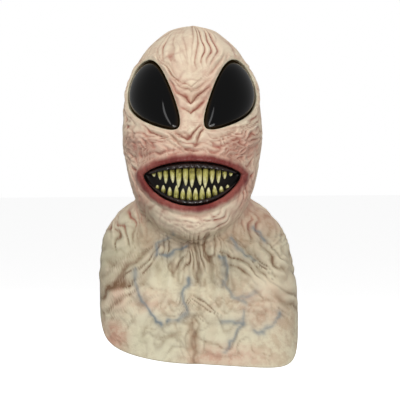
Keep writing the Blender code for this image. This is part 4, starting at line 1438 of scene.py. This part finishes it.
def make_grain():
    """The pores and hair-fine wrinkles of cast latex, as a height."""
    group, given, made = new_group("latex_grain", {"Pores": 900.0, "Wrinkles": 260.0}, ("Height",))
    pores = noise_texture(group, 1.0, 2.0, 0.5)
    group.links.new(given.outputs["Pores"], pores.node.inputs["Scale"])
    where = add_node(group, "ShaderNodeTexCoord").outputs["Object"]
    cells = add_node(group, "ShaderNodeTexVoronoi", {"Vector": where}, feature="DISTANCE_TO_EDGE")
    group.links.new(given.outputs["Wrinkles"], cells.inputs["Scale"])
    edges = spread(group, cells.outputs["Distance"], 0.0, 0.16)
    low_pores = calculate(group, "MULTIPLY", pores, 0.45)
    low_edges = calculate(group, "MULTIPLY", edges, 0.6)
    group.links.new(calculate(group, "ADD", low_pores, low_edges), made.inputs["Height"])
    return group


MOTTLE, GRAIN = make_mottle(), make_grain()


def new_material(name):
    material = bpy.data.materials.new(name)
    material.use_nodes = True
    tree = material.node_tree
    return material, tree, tree.nodes["Principled BSDF"]


def add_bump(tree, shader, height, strength, distance):
    inputs = {"Height": height, "Strength": strength, "Distance": distance}
    bump = add_node(tree, "ShaderNodeBump", inputs)
    tree.links.new(bump.outputs["Normal"], shader.inputs["Normal"])


# %% [markdown]
# ## The painted latex
#
# The base coat is a pale flesh on the face and a greener beige on the bib. Layers follow in a painter's
# order: the airbrushed spots of green, pink and brown, where the green is partly painted shade; dark
# creases, which are partly a wash and partly painted shade; pale crests of the folds, which are partly
# dry-brushing and partly a painted highlight; blue-grey veins and red lips. Each layer mixes the colours so
# far with a new one, by a mask. The inside keeps the colour of bare latex.

# %% Painted latex
def make_latex():
    material, tree, shader = new_material("painted_latex")
    mottle = fill_group(tree, MOTTLE, {"Large": 11.0, "Small": 75.0})
    patches, specks = mottle.outputs["Patches"], mottle.outputs["Specks"]

    def layer(colour, share, low, high, over):
        """Paints a tone over the colour, where the share says, broken up by the specks."""
        broken = calculate(tree, "MULTIPLY", share, spread(tree, specks, 0.0, 1.0, low, high))
        return mix_colour(tree, broken, colour, over)

    face = mix_colour(tree, specks, linear(230, 213, 187), linear(216, 191, 167))
    bib = mix_colour(tree, specks, linear(222, 214, 186), linear(212, 201, 172))
    bib = layer(bib, patches, 0.2, 0.5, linear(184, 156, 130))
    colour = mix_colour(tree, mask(tree, "face"), bib, face)
    # The green layer is partly the latex's grey-green tint and partly painted shade.
    colour = layer(colour, mask(tree, "green"), 0.6, 0.95, linear(184, 180, 152))
    colour = layer(colour, mask(tree, "pink"), 0.6, 1.0, linear(196, 130, 115))
    colour = layer(colour, mask(tree, "brown"), 0.6, 0.95, linear(172, 132, 106))
    # The crease colour is partly the real wash in the folds and partly painted shade.
    crease = mix_colour(tree, mask(tree, "face"), linear(120, 90, 66), linear(154, 86, 72))
    colour = layer(colour, mask(tree, "cavity"), 0.72, 0.98, crease)
    # The pale crest colour is partly dry-brushed paint and partly a painted highlight.
    colour = layer(colour, mask(tree, "top"), 0.1, 0.4, linear(246, 232, 206))
    vein = calculate(tree, "MULTIPLY", mask(tree, "vein"), spread(tree, patches, 0.0, 1.0, 0.95, 0.6))
    colour = mix_colour(tree, vein, colour, linear(118, 128, 134))
    lip = mix_colour(tree, patches, linear(118, 52, 48), linear(158, 92, 82))
    lip = layer(lip, specks, 0.0, 0.5, linear(96, 38, 38))
    colour = mix_colour(tree, mask(tree, "lip"), colour, lip)
    colour = mix_colour(tree, mask(tree, "inside"), colour, linear(205, 182, 142))
    tree.links.new(colour, shader.inputs["Base Color"])
    gloss = spread(tree, specks, 0.0, 1.0, 0.42, 0.58)
    wet = calculate(tree, "MULTIPLY", mask(tree, "lip"), 0.16)
    tree.links.new(calculate(tree, "SUBTRACT", gloss, wet), shader.inputs["Roughness"])
    shader.inputs["Specular IOR Level"].default_value = 0.42
    grain = fill_group(tree, GRAIN, {"Pores": 1100.0, "Wrinkles": 330.0})
    add_bump(tree, shader, grain.outputs["Height"], 0.55, 0.0005)
    return material


# %% [markdown]
# ## The other finishes
#
# The lenses are almost mirror-smooth. The gums are as dark and look wet, because a clear coat lies over a
# rougher base. The teeth's colour follows an attribute that runs from the root to the tip.

# %% Lenses, mouth and teeth
def make_lens_finish():
    """Gloss black, with a brown edge that is a painted sheen."""
    material, tree, shader = new_material("lens_gloss")
    # The brown ring near the lens's rim is a painted sheen.
    edge = spread(tree, mask(tree, "edge"), 0.86, 1.04)
    mottle = fill_group(tree, MOTTLE, {"Large": 22.0, "Small": 160.0})
    brown = mix_colour(tree, mottle.outputs["Patches"], linear(66, 50, 28), linear(40, 32, 22))
    tree.links.new(mix_colour(tree, edge, linear(6, 7, 8), brown), shader.inputs["Base Color"])
    tree.links.new(spread(tree, mottle.outputs["Specks"], 0.0, 1.0, 0.05, 0.09), shader.inputs["Roughness"])
    shader.inputs["Specular IOR Level"].default_value = 0.35
    return material


def make_gum_finish():
    """Wet-looking black-brown paint with a little red in it."""
    material, tree, shader = new_material("gum_paint")
    mottle = fill_group(tree, MOTTLE, {"Large": 60.0, "Small": 260.0})
    dark = mix_colour(tree, mottle.outputs["Patches"], linear(20, 16, 15), linear(42, 26, 22))
    tree.links.new(dark, shader.inputs["Base Color"])
    tree.links.new(spread(tree, mottle.outputs["Specks"], 0.0, 1.0, 0.16, 0.32), shader.inputs["Roughness"])
    shader.inputs["Coat Weight"].default_value = 0.7
    grain = fill_group(tree, GRAIN, {"Pores": 700.0, "Wrinkles": 240.0})
    add_bump(tree, shader, grain.outputs["Height"], 0.5, 0.0006)
    return material


def make_tray_finish():
    material, tree, shader = new_material("tray_paint")
    mottle = fill_group(tree, MOTTLE, {"Large": 40.0, "Small": 200.0})
    dark = mix_colour(tree, mottle.outputs["Patches"], linear(12, 10, 10), linear(26, 18, 16))
    tree.links.new(dark, shader.inputs["Base Color"])
    shader.inputs["Roughness"].default_value = 0.4
    return material


def make_tooth_finish():
    """Olive at the root, yellow-green in the middle and pale at the tip, with fine cracks."""
    material, tree, shader = new_material("tooth_enamel")
    mottle = fill_group(tree, MOTTLE, {"Large": 130.0, "Small": 420.0})
    uneven = spread(tree, mottle.outputs["Patches"], 0.0, 1.0, -0.14, 0.14)
    along = calculate(tree, "ADD", mask(tree, "along"), uneven)
    colour = mix_colour(tree, spread(tree, along, 0.05, 0.45), linear(92, 86, 34), linear(176, 170, 92))
    colour = mix_colour(tree, spread(tree, along, 0.35, 0.85), colour, linear(222, 216, 164))
    stain = calculate(tree, "MULTIPLY", mottle.outputs["Specks"], 0.35)
    colour = mix_colour(tree, stain, colour, linear(120, 106, 44))
    tree.links.new(colour, shader.inputs["Base Color"])
    tree.links.new(spread(tree, mottle.outputs["Specks"], 0.0, 1.0, 0.20, 0.38), shader.inputs["Roughness"])
    shader.inputs["Coat Weight"].default_value = 0.35
    grain = fill_group(tree, GRAIN, {"Pores": 1600.0, "Wrinkles": 500.0})
    add_bump(tree, shader, grain.outputs["Height"], 0.35, 0.0004)
    return material


def paint(items, material):
    for item in items:
        item.data.materials.clear()
        item.data.materials.append(material)


paint([skin], make_latex())
paint(lenses, make_lens_finish())
paint(gums, make_gum_finish())
paint([lining], make_tray_finish())
paint(teeth, make_tooth_finish())
print("Finishes:", [material.name for material in bpy.data.materials])

# %% [markdown]
# ## Floor, light and camera
#
# The mask hangs in the air as if on a head, so the floor lies below its hem. A few large soft lights give
# the even light of a photo studio. A small one and a tall narrow one are reflected in the lenses, as a
# spark and a streak. A light path node makes the world bright to the camera and dimmer as a light on the
# mask.

# %% Stage
FLOOR_DROP = 0.16


def make_floor():
    """A plain pale floor that glows a little, so that it looks as white as the world behind it."""
    size = 12.0
    z = skin_low.z - FLOOR_DROP
    points = np.array(((-size, -size, z), (size, -size, z), (size, size, z), (-size, size, z)))
    floor = make_mesh("floor", points, [[0, 1, 2, 3]])
    material, _, shader = new_material("floor_white")
    shader.inputs["Base Color"].default_value = (0.85, 0.85, 0.85, 1.0)
    shader.inputs["Emission Color"].default_value = (1.0, 1.0, 1.0, 1.0)
    shader.inputs["Emission Strength"].default_value = 0.72
    shader.inputs["Roughness"].default_value = 0.9
    floor.data.materials.append(material)
    floor.visible_glossy = False
    floor.visible_diffuse = False


def add_light(name, place, target, size, power, seen_in_gloss=True, height=None):
    """Adds a round softbox, or an oval one where a height is given."""
    light = bpy.data.lights.new(name, "AREA")
    light.shape = "ELLIPSE" if height else "DISK"
    light.size = size
    if height:
        light.size_y = height
    light.energy = power
    item = bpy.data.objects.new(name, light)
    item.location = place
    item.rotation_euler = (Vector(target) - Vector(place)).to_track_quat("-Z", "Y").to_euler()
    item.visible_glossy = seen_in_gloss
    bpy.context.scene.collection.objects.link(item)


def make_world():
    world = bpy.data.worlds.new("studio")
    world.use_nodes = True
    tree = world.node_tree
    background = tree.nodes["Background"]
    background.inputs["Color"].default_value = (1.0, 1.0, 1.0, 1.0)
    seen = add_node(tree, "ShaderNodeLightPath").outputs["Is Camera Ray"]
    strength = add_node(tree, "ShaderNodeMapRange", {"Value": seen, "To Min": 0.27, "To Max": 1.0})
    tree.links.new(strength.outputs["Result"], background.inputs["Strength"])
    bpy.context.scene.world = world


make_floor()
make_world()
MASK_MIDDLE = (0.0, 0.0, skin_low.z / 2)
add_light("front", (-0.25, -2.5, 0.25), MASK_MIDDLE, 0.6, 20, False)
add_light("key", (-1.0, -1.1, 1.7), MASK_MIDDLE, 0.45, 19, False)
add_light("right_fill", (1.9, -1.4, -0.2), MASK_MIDDLE, 0.9, 14, False)
add_light("low_fill", (0.3, -1.9, -1.2), (0.0, 0.0, -0.34), 1.2, 17)
add_light("top", (0.3, 0.5, 1.8), MASK_MIDDLE, 1.0, 6, False)
add_light("back", (0.9, 1.9, 0.9), MASK_MIDDLE, 0.8, 20, False)
add_light("spark_right", (-0.1, -2.4, -0.9), MASK_MIDDLE, 0.2, 3)
add_light("streak", (-0.55, -2.3, 0.2), MASK_MIDDLE, 0.4, 7, height=2.4)
bpy.context.scene.view_settings.view_transform = "Standard"

# %% [markdown]
# ## The camera
#
# The camera looks at the mask from the photograph's angle. A long lens far away keeps the face's
# proportions: the lens comes from the distance and from how much of the mask's height the picture shows.

# %% Camera
CAMERA_DISTANCE = 3.0
CAMERA_HEIGHT_ANGLE = math.radians(2)
CAMERA_ROLL = math.radians(-0.4)
VIEW_HEIGHT = 0.5800
LOOK_AT = Vector((0.0105, 0.0, -0.2480))


def make_camera():
    camera = bpy.data.cameras.new("camera")
    camera.sensor_width = 36.0
    camera.lens = camera.sensor_width * CAMERA_DISTANCE / VIEW_HEIGHT
    item = bpy.data.objects.new("camera", camera)
    back = Vector((0, -math.cos(CAMERA_HEIGHT_ANGLE), math.sin(CAMERA_HEIGHT_ANGLE)))
    item.location = LOOK_AT + back * CAMERA_DISTANCE
    turned = back.to_track_quat("Z", "Y")
    item.rotation_euler = turned.to_euler()
    item.rotation_euler.rotate_axis("Z", CAMERA_ROLL)
    bpy.context.scene.collection.objects.link(item)
    bpy.context.scene.camera = item


make_camera()
